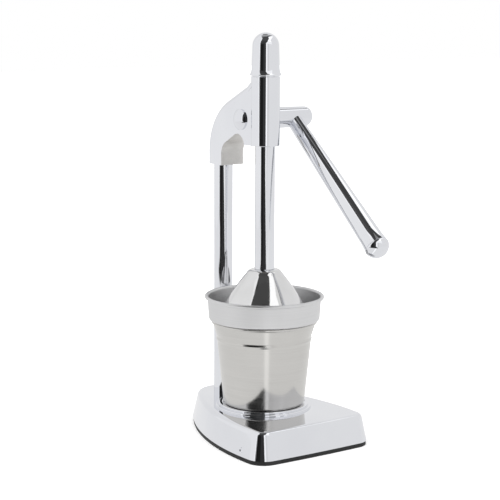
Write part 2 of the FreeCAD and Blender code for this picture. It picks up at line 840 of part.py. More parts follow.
def make_strainer_bowl():
    """Pressed bowl: a rolled rim, a band that rests on the cup's lip, a lower part that
    nests in the cup's mouth and a floor with a ring of drain slots."""
    ledge_z = cup_lip_top_z + bowl_ledge_gap
    neck_radius = cup_mouth_radius - cup_lip_roll - bowl_nest_gap
    neck_z = cup_mouth_z - 2.0 * cup_lip_roll
    floor_side = bowl_nest(cup_crease_z) - bowl_nest_gap
    profile = path(
        (reamer_spigot_radius, bowl_floor_z),
        (floor_side - bowl_floor_chamfer, bowl_floor_z),
        (floor_side, bowl_floor_z + bowl_floor_chamfer),
        (floor_side, cup_crease_z),
        (min(neck_radius, bowl_nest(neck_z)), neck_z),
        (neck_radius, ledge_z),
        (bowl_band_radius - bowl_band_corner, ledge_z),
        ((bowl_band_radius - bowl_band_corner * round_share,
          ledge_z + bowl_band_corner * round_share),
         (bowl_band_radius, ledge_z + bowl_band_corner)),
        (bowl_band_top_radius, bowl_rim_z),
    )
    bowl = turned(sheet(profile, bowl_wall))
    roll = Part.makeTorus(bowl_rim_radius, bowl_rim_roll, Vector(0, 0, bowl_rim_z))
    slots = []
    for i in range(drain_slots):
        slot = Part.makeBox(drain_slot_length, drain_slot_width, 2.0 * bowl_wall,
                            Vector(drain_slot_start, -drain_slot_width / 2.0,
                                   bowl_floor_z - bowl_wall / 2.0))
        slot.rotate(Vector(0, 0, 0), Vector(0, 0, 1), 360.0 * i / drain_slots)
        slots.append(slot)
    return single(bowl.fuse(roll).cut(slots))


def reamer_outline(base_z, wall):
    """Closed profile of the reamer's cone, drawn in from the outside by a wall."""
    tip_radius = reamer_tip_radius - wall * 0.5
    neck_z = reamer_top_z - reamer_tip_radius + 1.0 - wall
    middle = (base_z + neck_z) / 2.0
    return closed_face(
        (0.0, base_z),
        (reamer_base_radius - wall, base_z),
        ((reamer_base_radius * reamer_bulge - wall, middle), (tip_radius, neck_z)),
        crown(tip_radius, neck_z, reamer_top_z - wall),
    )


def make_reamer_cone():
    """Fluted cone on a flange, hollow below, with a spigot ring in the bowl's hole."""
    seat_z = bowl_floor_z + bowl_wall
    base_z = seat_z + reamer_flange_thickness
    rise = reamer_top_z - base_z
    lean = math.atan2(reamer_base_radius - reamer_tip_radius, rise)
    flutes = []
    for i in range(reamer_flutes):
        flute = post(reamer_flute_radius, 0.0, 2.0 * rise)
        flute.rotate(Vector(0, 0, 0), Vector(0, 1, 0), -math.degrees(lean))
        flute.translate(Vector(reamer_base_radius + reamer_flute_offset, 0, base_z))
        flute.rotate(Vector(0, 0, 0), Vector(0, 0, 1), 360.0 * i / reamer_flutes)
        flutes.append(flute)
    below = post(2.0 * reamer_flange_radius, base_z - rise, base_z + reamer_flute_start)
    cone = turned(reamer_outline(base_z, 0.0)).cut([flute.cut(below) for flute in flutes])
    flange = post(reamer_flange_radius, seat_z, base_z)
    spigot = post(reamer_spigot_radius - slip, bowl_floor_z, seat_z + 0.5)
    hollow = turned(reamer_outline(base_z, reamer_wall))
    opening = post(reamer_spigot_radius - reamer_wall, bowl_floor_z - 1.0, base_z + 1.0)
    return single(cone.fuse([flange, spigot]).cut([hollow, opening]))


nodes = {
    "base_shell": make_base_shell,
    "base_mat": make_base_mat,
    "base_screws": make_base_screws,
    "column": make_column,
    "column_washer": make_column_washer,
    "column_nut": make_column_nut,
    "head_casting": make_head_casting,
    "lower_guide_bush": lambda: guide_bush(barrel_bottom_z + 0.6),
    "upper_guide_bush": lambda: guide_bush(upper_bush_z),
    "top_cap": make_top_cap,
    "shaft_bushes": make_shaft_bushes,
    "pinion_shaft": make_pinion_shaft,
    "pinion": make_pinion,
    "pinion_key": key_block,
    "retaining_ring": make_retaining_ring,
    "shaft_cover": make_shaft_cover,
    "thrust_washer": make_thrust_washer,
    "lever_hub": make_lever_hub,
    "hub_pin": hub_pin_bar,
    "lever_arm": make_lever_arm,
    "lever_end_cap": make_lever_end_cap,
    "rack_rod": make_rack_rod,
    "bell_washer": make_bell_washer,
    "press_bell": make_press_bell,
    "bell_screw": make_bell_screw,
    "juice_cup": make_juice_cup,
    "strainer_bowl": make_strainer_bowl,
    "reamer_cone": make_reamer_cone,
}

os.makedirs("parts", exist_ok=True)
for name, make in nodes.items():
    shape = make()
    shape.exportStep("parts/" + name + ".step")
    print(name, len(shape.Solids), round(shape.Volume, 1), shape.isValid())
print("plunger travel", round(plunger_travel, 2))
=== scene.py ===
import math
import bmesh
import bpy
import numpy as np
from mathutils import Matrix


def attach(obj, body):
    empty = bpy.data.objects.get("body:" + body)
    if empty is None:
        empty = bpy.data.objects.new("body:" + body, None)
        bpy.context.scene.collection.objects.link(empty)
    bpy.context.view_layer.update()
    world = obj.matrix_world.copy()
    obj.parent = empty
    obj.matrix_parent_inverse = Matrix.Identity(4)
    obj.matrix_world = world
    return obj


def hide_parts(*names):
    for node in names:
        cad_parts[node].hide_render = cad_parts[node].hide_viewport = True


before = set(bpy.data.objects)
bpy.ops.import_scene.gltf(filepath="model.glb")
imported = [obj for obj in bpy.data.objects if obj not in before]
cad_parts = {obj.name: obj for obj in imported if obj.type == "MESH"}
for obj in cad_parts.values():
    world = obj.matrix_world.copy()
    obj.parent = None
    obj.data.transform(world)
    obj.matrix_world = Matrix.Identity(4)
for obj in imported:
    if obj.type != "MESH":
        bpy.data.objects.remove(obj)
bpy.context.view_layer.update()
scene = bpy.context.scene
mm = 0.001

# Base shell
# A hollow casting that the press stands on, ground, polished and chrome plated. Its wall leans
# in, its top edge is round, and its deck carries a turned seat for the cup.
base_half_width = 66.0 * mm
base_widest_y = -55.0 * mm
base_side_radius = 260.0 * mm
base_front_y = -86.0 * mm
base_front_bow = 1.5 * mm
base_rear_y = 98.0 * mm
base_corner_radius = 17.0 * mm
base_draft = 5.5 * mm
base_wall = 3.0 * mm
base_low_z = 4.0 * mm
base_deck_z = 29.5 * mm
base_ceiling_z = 25.5 * mm
base_edge_radius = 5.0 * mm
seat_radius = 45.0 * mm
dimple_place = (-56.0 * mm, 9.5 * mm)
dimple_radius = 2.5 * mm
dimple_depth = 1.0 * mm
dimple_blend = 0.7 * mm
merged_within = 0.002 * mm
usual_crease = math.radians(32.0)


def rounded(*corners, steps=8, support=0.2 * mm):
    """Profile through corners (across, up, round). A corner's round is the arc that touches both
    of its sides: its centre lies on the bisector at round / sin(half the corner's angle). A
    point a little way along each side keeps the side's own shading flat."""
    points = []
    for k, corner in enumerate(corners):
        here = np.array(corner[:2])
        if len(corner) == 2:
            points.append([here])
            continue
        back = np.array(corners[k - 1][:2]) - here
        ahead = np.array(corners[(k + 1) % len(corners)][:2]) - here
        back /= np.linalg.norm(back)
        ahead /= np.linalg.norm(ahead)
        half = math.acos(np.clip(back @ ahead, -1.0, 1.0)) / 2.0
        reach = corner[2] / math.tan(half)
        bisector = (back + ahead) / np.linalg.norm(back + ahead)
        centre = here + bisector * corner[2] / math.sin(half)
        first = here + back * reach - centre
        last = here + ahead * reach - centre
        start = math.atan2(first[1], first[0])
        sweep = (math.atan2(last[1], last[0]) - start + math.pi) % (2.0 * math.pi) - math.pi
        turn = start + sweep * np.linspace(0.0, 1.0, steps + 1)[:, None]
        arc = centre + corner[2] * np.hstack([np.cos(turn), np.sin(turn)])
        points += [[arc[0] + back * support], arc, [arc[-1] + ahead * support]]
    return np.vstack(points)


def joined(x, y, z):
    """Points of three arrays of coordinates, each spread to the shape that they share."""
    return np.stack(np.broadcast_arrays(x, y, z), axis=-1)


def cells(rows, columns, looped):
    """Corner numbers of a grid's cells. The last column meets the first one, and with looped
    the last row meets the first one too."""
    row = np.arange(rows if looped else rows - 1)[:, None] * columns
    column = np.arange(columns)[None, :]
    after = (row + columns) % (rows * columns)
    beside = (column + 1) % columns
    return np.stack([row + column, row + beside, after + beside, after + column], axis=-1)


def skin(name, grid, looped=False, crease=usual_crease):
    """Mesh object of a grid of points, rows by columns. Each row is a closed ring. Rings that
    have shrunk to a point become poles."""
    quads = cells(*grid.shape[:2], looped).reshape(-1, 4)
    return surface(name, grid.reshape(-1, 3), quads, crease)


def placed(name, data):
    """Object that holds the data, put into the scene at its origin."""
    made = bpy.data.objects.new(name, data)
    scene.collection.objects.link(made)
    return made


def surface(name, points, faces, crease):
    """Mesh object of points and faces, with doubled points merged and faces turned outwards."""
    mesh = bpy.data.meshes.new(name)
    mesh.from_pydata(points.tolist(), [], faces.tolist())
    work = bmesh.new()
    work.from_mesh(mesh)
    bmesh.ops.remove_doubles(work, verts=work.verts, dist=merged_within)
    bmesh.ops.dissolve_degenerate(work, edges=work.edges, dist=merged_within / 2.0)
    bmesh.ops.recalc_face_normals(work, faces=work.faces)
    work.to_mesh(mesh)
    work.free()
    mesh.polygons.foreach_set("use_smooth", np.ones(len(mesh.polygons), dtype=bool))
    mesh.set_sharp_from_angle(angle=crease)
    return placed(name, mesh)


def stands_for(piece, body, node_name, material):
    """Piece rides on a body in place of a CAD node, and takes a finish."""
    piece.data.materials.append(material)
    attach(piece, body)
    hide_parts(node_name)


def circle_meeting(centre_a, radius_a, centre_b, radius_b):
    """Lower of the two points that lie at both radii from both centres."""
    between = centre_b - centre_a
    apart = np.linalg.norm(between)
    along = (radius_a ** 2 - radius_b ** 2 + apart ** 2) / (2.0 * apart)
    off = math.sqrt(radius_a ** 2 - along ** 2)
    unit = between / apart
    sideways = np.array([unit[1], -unit[0]])
    options = [centre_a + unit * along + sideways * off * side for side in (-1.0, 1.0)]
    return min(options, key=lambda point: point[1])


def base_outline(inset, facing):
    """Outline of the base where its outward normal has the angle facing, drawn in by inset. On
    each arc a point is centre + (radius - inset) * (cos facing, sin facing). The left half
    mirrors the right one."""
    side_centre = np.array([base_half_width - base_side_radius, base_widest_y])
    rear_reach = base_rear_y - base_widest_y
    rear_radius = ((base_side_radius ** 2 - side_centre[0] ** 2 - rear_reach ** 2)
                   / (2.0 * (base_side_radius - rear_reach)))
    rear_centre = np.array([0.0, base_rear_y - rear_radius])
    corner_y = base_front_y + base_front_bow
    corner_x = side_centre[0] + math.sqrt(base_side_radius ** 2 - (corner_y - base_widest_y) ** 2)
    front_radius = (corner_x ** 2 + base_front_bow ** 2) / (2.0 * base_front_bow)
    front_centre = np.array([0.0, base_front_y + front_radius])
    corner_centre = circle_meeting(front_centre, front_radius - base_corner_radius,
                                   side_centre, base_side_radius - base_corner_radius)
    to_rear = rear_centre - side_centre
    to_side = corner_centre - side_centre
    to_front = corner_centre - front_centre
    folded = np.arctan2(np.sin(facing), np.abs(np.cos(facing)))
    parts = [folded > math.atan2(to_rear[1], to_rear[0]),
             folded > math.atan2(to_side[1], to_side[0]),
             folded > math.atan2(to_front[1], to_front[0])]
    centre_x = np.select(parts, [0.0, side_centre[0], corner_centre[0]], 0.0)
    centre_y = np.select(parts, [rear_centre[1], side_centre[1], corner_centre[1]],
                         front_centre[1])
    radius = np.select(parts, [rear_radius, base_side_radius, base_corner_radius], front_radius)
    x = centre_x + (radius - inset) * np.cos(folded)
    y = centre_y + (radius - inset) * np.sin(folded)
    return np.where(np.cos(facing) >= 0.0, x, -x), y


def around_base():
    """Normal angles for one way round the base, close together where its outline turns fast
    and at the dimple on its left wall."""
    arcs = [(-90.0, -87.35, 10), (-87.35, -6.9, 44), (-6.9, 32.25, 40), (32.25, 90.0, 36)]
    right = np.concatenate([np.radians(np.linspace(a, b, n)) for a, b, n in arcs])
    at_dimple = (base_widest_y - dimple_place[0]) / base_side_radius
    near_dimple = math.pi + at_dimple + np.linspace(-0.013, 0.013, 25)
    every = np.unique(np.round(np.concatenate([right, math.pi - right, near_dimple]), 9))
    return every[every < 1.5 * math.pi - 1e-6]


facing = around_base()
wall_top = rounded((0.0, base_low_z), (base_draft, base_deck_z, base_edge_radius),
                   (base_draft + 9.0 * mm, base_deck_z))[1:-1]
wall_z = np.concatenate([[base_low_z, 5.5 * mm],
                         np.linspace(dimple_place[1] - 2.8 * mm, dimple_place[1] + 2.8 * mm, 21),
                         [15.0 * mm, 20.0 * mm]])
wall_inset = base_draft * (wall_z - base_low_z) / (base_deck_z - base_low_z)
ceiling_inset = base_wall + base_draft * (base_ceiling_z - base_low_z) / (base_deck_z - base_low_z)
outer_rows = np.vstack([np.stack([wall_inset, wall_z], axis=-1), wall_top])
inner_rows = np.array([(ceiling_inset, base_ceiling_z), (base_wall, base_low_z)])
seat_rows = rounded(
    (seat_radius + 0.3 * mm, base_deck_z),
    (seat_radius, base_deck_z + 0.3 * mm),
    (seat_radius, 31.3 * mm, 0.7 * mm),
    (42.6 * mm, 31.3 * mm),
    (42.4 * mm, 31.5 * mm),
    (42.4 * mm, 33.1 * mm, 0.7 * mm),
    (39.5 * mm, 33.1 * mm, 0.3 * mm),
    (38.7 * mm, 32.3 * mm),
    (30.0 * mm, 32.3 * mm),
    (0.0, 32.3 * mm),
    (0.0, base_ceiling_z),
    (30.0 * mm, base_ceiling_z),
)


def base_rings(rows):
    """Rings on the base's outline, one to each row (inset, height)."""
    x, y = base_outline(rows[:, :1], facing[None, :])
    return joined(x, y, rows[:, 1:])


def seat_rings(rows):
    """Circles about the plunger's axis, one to each row (radius, height)."""
    return joined(rows[:, :1] * np.cos(facing), rows[:, :1] * np.sin(facing), rows[:, 1:])


base_grid = np.concatenate([base_rings(outer_rows), seat_rings(seat_rows),
                            base_rings(inner_rows)])
from_dimple = np.hypot(base_grid[..., 1] - dimple_place[0], base_grid[..., 2] - dimple_place[1])
from_dimple[len(wall_z):] = 1.0
in_dimple = (base_grid[..., 0] < 0.0) * np.clip((dimple_radius - from_dimple) / dimple_blend, 0, 1)
base_grid[..., 0] += dimple_depth * in_dimple * (3.0 - 2.0 * in_dimple) * in_dimple
base_piece = skin("base_casting", base_grid, looped=True)


def node(tree, kind, *values, **settings):
    """Adds a shader node. Values fill its inputs in order: a socket is linked, None is passed
    over, and anything else becomes the input's own value."""
    made = tree.nodes.new(kind)
    for key, value in settings.items():
        setattr(made, key, value)
    for slot_in, value in zip(made.inputs, values):
        if isinstance(value, bpy.types.NodeSocket):
            tree.links.new(value, slot_in)
        elif value is not None:
            slot_in.default_value = value
    return made


def maths(tree, operation, *values):
    return node(tree, "ShaderNodeMath", *values, operation=operation).outputs[0]


def noise(tree, place, scale, detail=2.0, stretch=(1.0, 1.0, 1.0)):
    """Cloud pattern on Object coordinates, scale patches to a metre, drawn out by stretch."""
    mapped = node(tree, "ShaderNodeMapping", place, None, None, stretch)
    made = node(tree, "ShaderNodeTexNoise", mapped.outputs[0])
    made.inputs["Scale"].default_value = scale
    made.inputs["Detail"].default_value = detail
    return made.outputs["Fac"]


def remap(tree, value, low, high, to_low=0.0, to_high=1.0):
    return node(tree, "ShaderNodeMapRange", value, low, high, to_low, to_high).outputs[0]


def blend(tree, share, colour_a, colour_b):
    """Colour a where share is 0, colour b where it is 1."""
    mixed = node(tree, "ShaderNodeMix", data_type="RGBA")
    tree.links.new(share, mixed.inputs["Factor"])
    for slot_in, colour in ((mixed.inputs[6], colour_a), (mixed.inputs[7], colour_b)):
        if isinstance(colour, bpy.types.NodeSocket):
            tree.links.new(colour, slot_in)
        else:
            slot_in.default_value = (*colour, 1.0)
    return mixed.outputs[2]


def new_finish(name):
    """Empty material: itself, its tree, its Object coordinates and its main shader."""
    made = bpy.data.materials.new(name)
    made.use_nodes = True
    tree = made.node_tree
    place = node(tree, "ShaderNodeTexCoord").outputs["Object"]
    return made, tree, place, tree.nodes["Principled BSDF"]


def relief(tree, shader, height, depth):
    """Surface relief from a pattern's height, in metres from its lowest to its highest."""
    bump = node(tree, "ShaderNodeBump", 1.0, depth)
    tree.links.new(height, bump.inputs["Height"])
    tree.links.new(bump.outputs[0], shader.inputs["Normal"])


def finish(name, tones, cloud, grain, rough, depth=0.0, metallic=1.0, cloud_spread=(0.3, 0.7),
           grain_spread=(0.3, 0.7), ripple=None):
    """Material that drifts between two tones with a cloud pattern. Its roughness follows a finer
    grain, and so does its relief unless a ripple is given for that. A pattern is (patches to a
    metre, detail, stretch), and a spread is the part of it that is used."""
    made, tree, place, shader = new_finish(name)
    clouded = remap(tree, noise(tree, place, *cloud), *cloud_spread)
    grained = noise(tree, place, *grain)
    tree.links.new(blend(tree, clouded, *tones), shader.inputs["Base Color"])
    tree.links.new(remap(tree, grained, *grain_spread, *rough), shader.inputs["Roughness"])
    shader.inputs["Metallic"].default_value = metallic
    if depth:
        relief(tree, shader, noise(tree, place, *ripple) if ripple else grained, depth)
    return made


def plated_chrome(name, depth):
    """Bright chrome plate: a cool grey mirror, clouded a little by handling and polishing, with
    the slight ripple of the ground metal below."""
    return finish(name, ((0.765, 0.775, 0.81), (0.80, 0.81, 0.84)), (14.0, 3.0),
                  (70.0, 4.0, (1.0, 1.0, 0.35)), (0.03, 0.075), depth,
                  cloud_spread=(0.35, 0.65), grain_spread=(0.35, 0.75), ripple=(45.0, 1.0))


cast_chrome = plated_chrome("cast_chrome", 0.012 * mm)
stands_for(base_piece, "frame", "base_shell", cast_chrome)


# Base mat and its screws
# A black rubber sole, moulded with a lip that stands inside the base's wall. Four pan screws of
# plain steel hold it up from below, in counterbores that keep their heads off the table.
def finish_node(name, material):
    """CAD node shown as it is, with a finish."""
    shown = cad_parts[name]
    shown.data.materials.clear()
    shown.data.materials.append(material)


# The rubber is dull and dusty, the steel is grey with the fine lines of the lathe.
rubber = finish("moulded_rubber", ((0.004, 0.004, 0.0045), (0.009, 0.009, 0.0095)),
                (25.0, 3.0), (900.0, 2.0), (0.55, 0.72), 0.04 * mm, metallic=0.0)
steel = finish("machined_steel", ((0.33, 0.325, 0.315), (0.46, 0.455, 0.445)),
               (60.0, 3.0), (40.0, 3.0, (60.0, 1.0, 1.0)), (0.24, 0.42), 0.01 * mm)
finish_node("base_mat", rubber)
finish_node("base_screws", steel)


# Column
# A straight steel bar, ground and chromed, that carries the head. Its stud goes down through
# the deck, where a washer and a nut pull the bar into its socket.
column_y = 69.0 * mm
column_radius = 9.1 * mm
stud_radius = 5.0 * mm
vertical = ((1.0, 0.0, 0.0), (0.0, 1.0, 0.0), (0.0, 0.0, 1.0))


def turned(name, profile, centre=(0.0, 0.0, 0.0), axes=vertical, steps=144, looped=False):
    """Profile (radius, height) turned about an axis: a point is centre + radius * (cos a * first
    axis + sin a * second axis) + height * third axis, for angles a all the way round."""
    first, second, third = np.array(axes)
    angle = np.linspace(0.0, 2.0 * math.pi, steps, endpoint=False)[None, :, None]
    radius = profile[:, 0][:, None, None]
    height = profile[:, 1][:, None, None]
    grid = (np.array(centre) + radius * (np.cos(angle) * first + np.sin(angle) * second)
            + height * third)
    return skin(name, grid, looped)


bright_chrome = plated_chrome("bright_chrome", 0.003 * mm)
column_piece = turned("column_bar", rounded(
    (0.0, 4.5 * mm),
    (stud_radius, 4.5 * mm),
    (stud_radius, 17.5 * mm),
    (column_radius, 17.5 * mm),
    (column_radius, 274.0 * mm),
    (column_radius - 1.0 * mm, 275.0 * mm),
    (0.0, 275.0 * mm),
), centre=(0.0, column_y, 0.0), steps=96)
stands_for(column_piece, "frame", "column", bright_chrome)
finish_node("column_washer", steel)
finish_node("column_nut", steel)


# Head casting
# One casting, polished and chromed: an arm whose outer edges are rolled over, a leg that is
# bored for the column, and an upright barrel that guides the plunger. The arm and the barrel
# are two surfaces here, and the arm starts inside the barrel's wall.
head_half_width = 12.7 * mm
head_edge_radius = 7.5 * mm
head_slope = math.radians(26.0)
slope_point = np.array([6.5 * mm, 336.0 * mm])
crown_radius = 55.0 * mm
head_rear_y = 79.8 * mm
leg_bottom_z = 253.5 * mm
leg_front_y = 54.0 * mm
barrel_radius = 13.5 * mm
barrel_bore = 11.4 * mm
barrel_low_z = 276.2 * mm
barrel_top_z = 340.0 * mm
notch_front_y = 16.4 * mm
fillet_rise = 2.6 * mm
fillet_reach = 6.5 * mm
fillet_stations = (13.7 * mm, 14.3 * mm, 15.2 * mm)
notch_apex = np.array([27.5 * mm, 285.7 * mm])


def arc_through(first, middle, last, steps):
    """Points on the circle through three points. Its centre is as far from the middle point as
    from each end, which is two linear equations."""
    first, middle, last = (np.array(point, dtype=float) for point in (first, middle, last))
    sides = 2.0 * np.array([middle - first, middle - last])
    squares = np.array([middle @ middle - first @ first, middle @ middle - last @ last])
    centre = np.linalg.solve(sides, squares)
    turns = [math.atan2(*(point - centre)[::-1]) for point in (first, middle, last)]
    unwrapped = np.unwrap(turns)
    angle = np.linspace(unwrapped[0], unwrapped[2], steps + 1)[:, None]
    return centre + np.linalg.norm(first - centre) * np.hstack([np.cos(angle), np.sin(angle)])


def straight(first, last, steps):
    """Points in even steps: first * (1 - share) + last * share."""
    share = np.linspace(0.0, 1.0, steps + 1)[:, None]
    return np.array(first) * (1.0 - share) + np.array(last) * share


def head_stations():
    """The arm's side view, station by station from the barrel to the foot of the leg: points
    and normals of the outer contour, and the points of the inner contour that face them."""
    tilt = np.array([math.sin(head_slope), math.cos(head_slope)])
    crown_y = head_rear_y - crown_radius
    start_y = crown_y + crown_radius * tilt[0]
    start_z = slope_point[1] - (start_y - slope_point[0]) * math.tan(head_slope)
    crown_z = start_z - crown_radius * tilt[1]
    behind_barrel = [0.0, *fillet_stations, notch_front_y - 0.01 * mm]
    closer_y = 0.62 * start_y
    slope_y = np.concatenate([behind_barrel, np.linspace(notch_front_y, closer_y, 13),
                              np.linspace(closer_y, start_y, 9)[1:]])
    slope_z = slope_point[1] - (slope_y - slope_point[0]) * math.tan(head_slope)
    angle = np.linspace(math.pi / 2.0 - head_slope, 0.0, 33)[1:]
    around = np.stack([np.cos(angle), np.sin(angle)], axis=-1)
    rear = straight((head_rear_y, crown_z), (head_rear_y, leg_bottom_z), 3)[1:]
    outer = np.vstack([np.stack([slope_y, slope_z], axis=-1),
                       np.array([crown_y, crown_z]) + crown_radius * around, rear])
    normals = np.vstack([np.tile(tilt, (len(slope_y), 1)), around,
                         np.tile((1.0, 0.0), (len(rear), 1))])
    apex_y, apex_z = notch_apex
    front_foot = (notch_front_y, barrel_low_z + 1.5 * mm)
    arch_start = (apex_y - 3.5 * mm, apex_z - 0.3 * mm)
    arch_end = (apex_y + 5.0 * mm, apex_z - 1.4 * mm)
    leg_bend = (leg_front_y - 7.5 * mm, apex_z - 9.2 * mm)
    leg_start = (leg_front_y, apex_z - 20.5 * mm)
    inner = np.vstack([
        [(y, barrel_low_z) for y in behind_barrel],
        straight((notch_front_y, barrel_low_z), front_foot, 1),
        arc_through(front_foot, (notch_front_y + 2.6 * mm, apex_z - 3.6 * mm), arch_start, 6)[1:],
        arc_through(arch_start, (apex_y + 0.8 * mm, apex_z), arch_end, 5)[1:],
        straight(arch_end, leg_bend, 8)[1:],
        arc_through(leg_bend, (leg_front_y - 2.1 * mm, apex_z - 13.8 * mm), leg_start, 32)[1:],
        straight(leg_start, (leg_front_y, leg_bottom_z), 3)[1:],
    ])
    return outer, normals, inner


def head_arm():
    """Each station is a ring: over the top from the middle to one side, round the rolled edge,
    where a point lies radius * (1 - cos) below the contour, down the flat side to the inner
    contour, and back across it to the other side. Its root is closed inside the barrel's wall:
    the first ring is drawn in to a point along that wall."""
    outer, normals, inner = head_stations()
    roll = np.linspace(0.0, math.pi / 2.0, 13)
    flat_x = head_half_width - head_edge_radius
    top_x = np.concatenate([[0.0, flat_x - 0.25 * mm], flat_x + head_edge_radius * np.sin(roll)])
    drop = np.concatenate([[0.0, 0.0], head_edge_radius * (1.0 - np.cos(roll))])
    share = np.array([0.02, 0.35, 0.7, 1.0])
    inner_x = head_half_width * np.array([0.6, 0.0])
    over = outer[:, None] - drop[None, :, None] * normals[:, None]
    side = over[:, -1:] * (1.0 - share[None, :, None]) + inner[:, None] * share[None, :, None]
    across = np.repeat(inner[:, None], len(inner_x), axis=1)
    half = np.concatenate([over, side, across], axis=1)
    half_x = np.concatenate([top_x, np.full(len(share), head_half_width), inner_x])
    in_wall = 0.5 * (barrel_radius + barrel_bore)
    reach = np.sqrt(np.clip(in_wall ** 2 - half_x ** 2, 0.0, None))
    from_barrel = np.hypot(half_x, half[..., 0]) - barrel_radius
    near = np.clip(1.0 - from_barrel / fillet_reach, 0.0, 1.0)
    on_top = np.concatenate([np.ones(len(top_x)), 1.0 - share, np.zeros(len(inner_x))])
    half[..., 1] += fillet_rise * near ** 2 * on_top
    on_slope = np.arange(len(half_x)) < len(top_x)
    half[0, :, 1] -= np.where(on_slope, (reach - half[0, :, 0]) * math.tan(head_slope), 0.0)
    half[0, :, 0] = reach
    ring = np.concatenate([half, half[:, -2:0:-1]], axis=1)
    ring_x = np.concatenate([half_x, -half_x[-2:0:-1]])
    grid = joined(ring_x, ring[..., 0], ring[..., 1])
    middle_z = grid[0, :, 2].mean()
    drawn_in = np.array([0.0, 0.25, 0.5, 0.75])[:, None]
    root_x = drawn_in * ring_x
    root = joined(root_x, np.sqrt(np.clip(in_wall ** 2 - root_x ** 2, 0.0, None)),
                  middle_z + drawn_in * (grid[0, :, 2] - middle_z))
    foot = np.broadcast_to(grid[-1].mean(axis=0), grid[:1].shape)
    return skin("head_arm", np.concatenate([root, grid, foot]))


arm_casting = head_arm()
barrel = turned("head_barrel", rounded(
    (barrel_bore, barrel_low_z),
    (barrel_radius, barrel_low_z, 0.6 * mm),
    (barrel_radius, barrel_top_z, 0.3 * mm),
    (barrel_bore, barrel_top_z),
    steps=4), looped=True)
stands_for(arm_casting, "frame", "head_casting", cast_chrome)


def faces_of_notch(mesh):
    """Faces of the arm that look into the notch: they lie below its top, between the barrel and
    the leg, and don't look sideways."""
    middle = np.zeros(3 * len(mesh.polygons))
    facing_way = np.zeros(3 * len(mesh.polygons))
    mesh.polygons.foreach_get("center", middle)
    mesh.polygons.foreach_get("normal", facing_way)
    middle = middle.reshape(-1, 3)
    return ((np.abs(facing_way[::3]) < 0.5) & (middle[:, 2] < notch_apex[1] + 0.3 * mm)
            & (middle[:, 1] > notch_front_y - 0.1 * mm) & (middle[:, 1] < leg_front_y + 0.1 * mm))


# The notch can't be reached by the polishing wheel: the plate shows the grain of the casting
# there, dull and a little warm.
arm_casting.data.materials.append(finish(
    "plated_casting", ((0.66, 0.65, 0.63), (0.76, 0.745, 0.725)), (60.0, 2.0), (650.0, 3.0),
    (0.42, 0.58), 0.05 * mm))
arm_casting.data.polygons.foreach_set(
    "material_index", faces_of_notch(arm_casting.data).astype(np.int32))
stands_for(barrel, "frame", "head_casting", bright_chrome)


# Guide bushes and shaft bushes
# Turned bronze rings, pressed into the barrel for the plunger and into the head for the shaft.
# Their bores are reamed and oiled.
bronze = finish("oiled_bronze", ((0.50, 0.29, 0.10), (0.62, 0.40, 0.17)), (90.0, 3.0),
                (300.0, 2.0), (0.22, 0.36))
for bush in ("lower_guide_bush", "upper_guide_bush", "shaft_bushes"):
    finish_node(bush, bronze)


# Top cap
# A domed cap, turned and chromed, that closes the barrel over the rising plunger. It has a
# beaded lip and a taper, and its spigot is pressed into the barrel's bore.
cap_lip_radius = 14.7 * mm
cap_body_radius = 13.1 * mm
cap_shoulder_radius = 12.3 * mm
cap_top_z = 380.0 * mm
cap_bore = 10.2 * mm
spigot_z = 334.0 * mm
seam_radius = barrel_radius - 1.8 * mm


def dome(radius, low, high, steps=20):
    """Ball-shaped top from (radius, low) to the axis at high. The ball's own radius is
    (radius squared + rise squared) / (2 * rise)."""
    rise = high - low
    ball = (radius ** 2 + rise ** 2) / (2.0 * rise)
    half = math.acos(np.clip((ball - rise) / ball, -1.0, 1.0))
    angle = np.linspace(half, 0.0, steps + 1)
    points = np.stack([ball * np.sin(angle), high - ball + ball * np.cos(angle)], axis=-1)
    points[-1, 0] = 0.0
    return points


cap_shoulder_z = cap_top_z - cap_shoulder_radius
cap_seam_z = barrel_top_z + 0.7 * mm
cap_bead = arc_through((cap_lip_radius - 0.5 * mm, cap_seam_z),
                       (cap_lip_radius, cap_seam_z + 0.9 * mm),
                       (cap_lip_radius - 0.35 * mm, cap_seam_z + 1.8 * mm), 10)
cap_neck = arc_through((cap_lip_radius - 0.55 * mm, cap_seam_z + 2.05 * mm),
                       (cap_body_radius + 0.45 * mm, cap_seam_z + 3.8 * mm),
                       (cap_body_radius - 0.1 * mm, cap_seam_z + 7.0 * mm), 14)
cap_hollow = dome(cap_bore, 367.4 * mm, 377.6 * mm)[::-1]
cap_profile = np.vstack([
    cap_hollow,
    [(cap_bore, spigot_z), (barrel_bore, spigot_z), (barrel_bore, barrel_top_z),
     (seam_radius, barrel_top_z), (seam_radius, cap_seam_z)],
    cap_bead,
    cap_neck,
    dome(cap_shoulder_radius, cap_shoulder_z, cap_top_z),
])
cap_piece = turned("cap_of_barrel", cap_profile)
stands_for(cap_piece, "frame", "top_cap", bright_chrome)


# Shaft, pinion and key
# The rack drive inside the head: a stepped steel shaft, a cut steel pinion on a square key, and
# a snap ring that keeps the shaft from drawing out. They stay as the CAD made them.
for part in ("pinion_shaft", "pinion", "pinion_key", "retaining_ring"):
    finish_node(part, steel)


# Shaft cover
# A pressed and chromed cover, domed, that closes the shaft's blind end in the head's side.
pivot = np.array([0.0, 22.0 * mm, 299.4 * mm])
cover_radius = 9.7 * mm
cover_seat = 11.5 * mm
cover_rim = 13.9 * mm
cover_top = 17.7 * mm
cover_wall = 1.2 * mm
leftward = ((0.0, 1.0, 0.0), (0.0, 0.0, 1.0), (-1.0, 0.0, 0.0))
rightward = ((0.0, 1.0, 0.0), (0.0, 0.0, 1.0), (1.0, 0.0, 0.0))

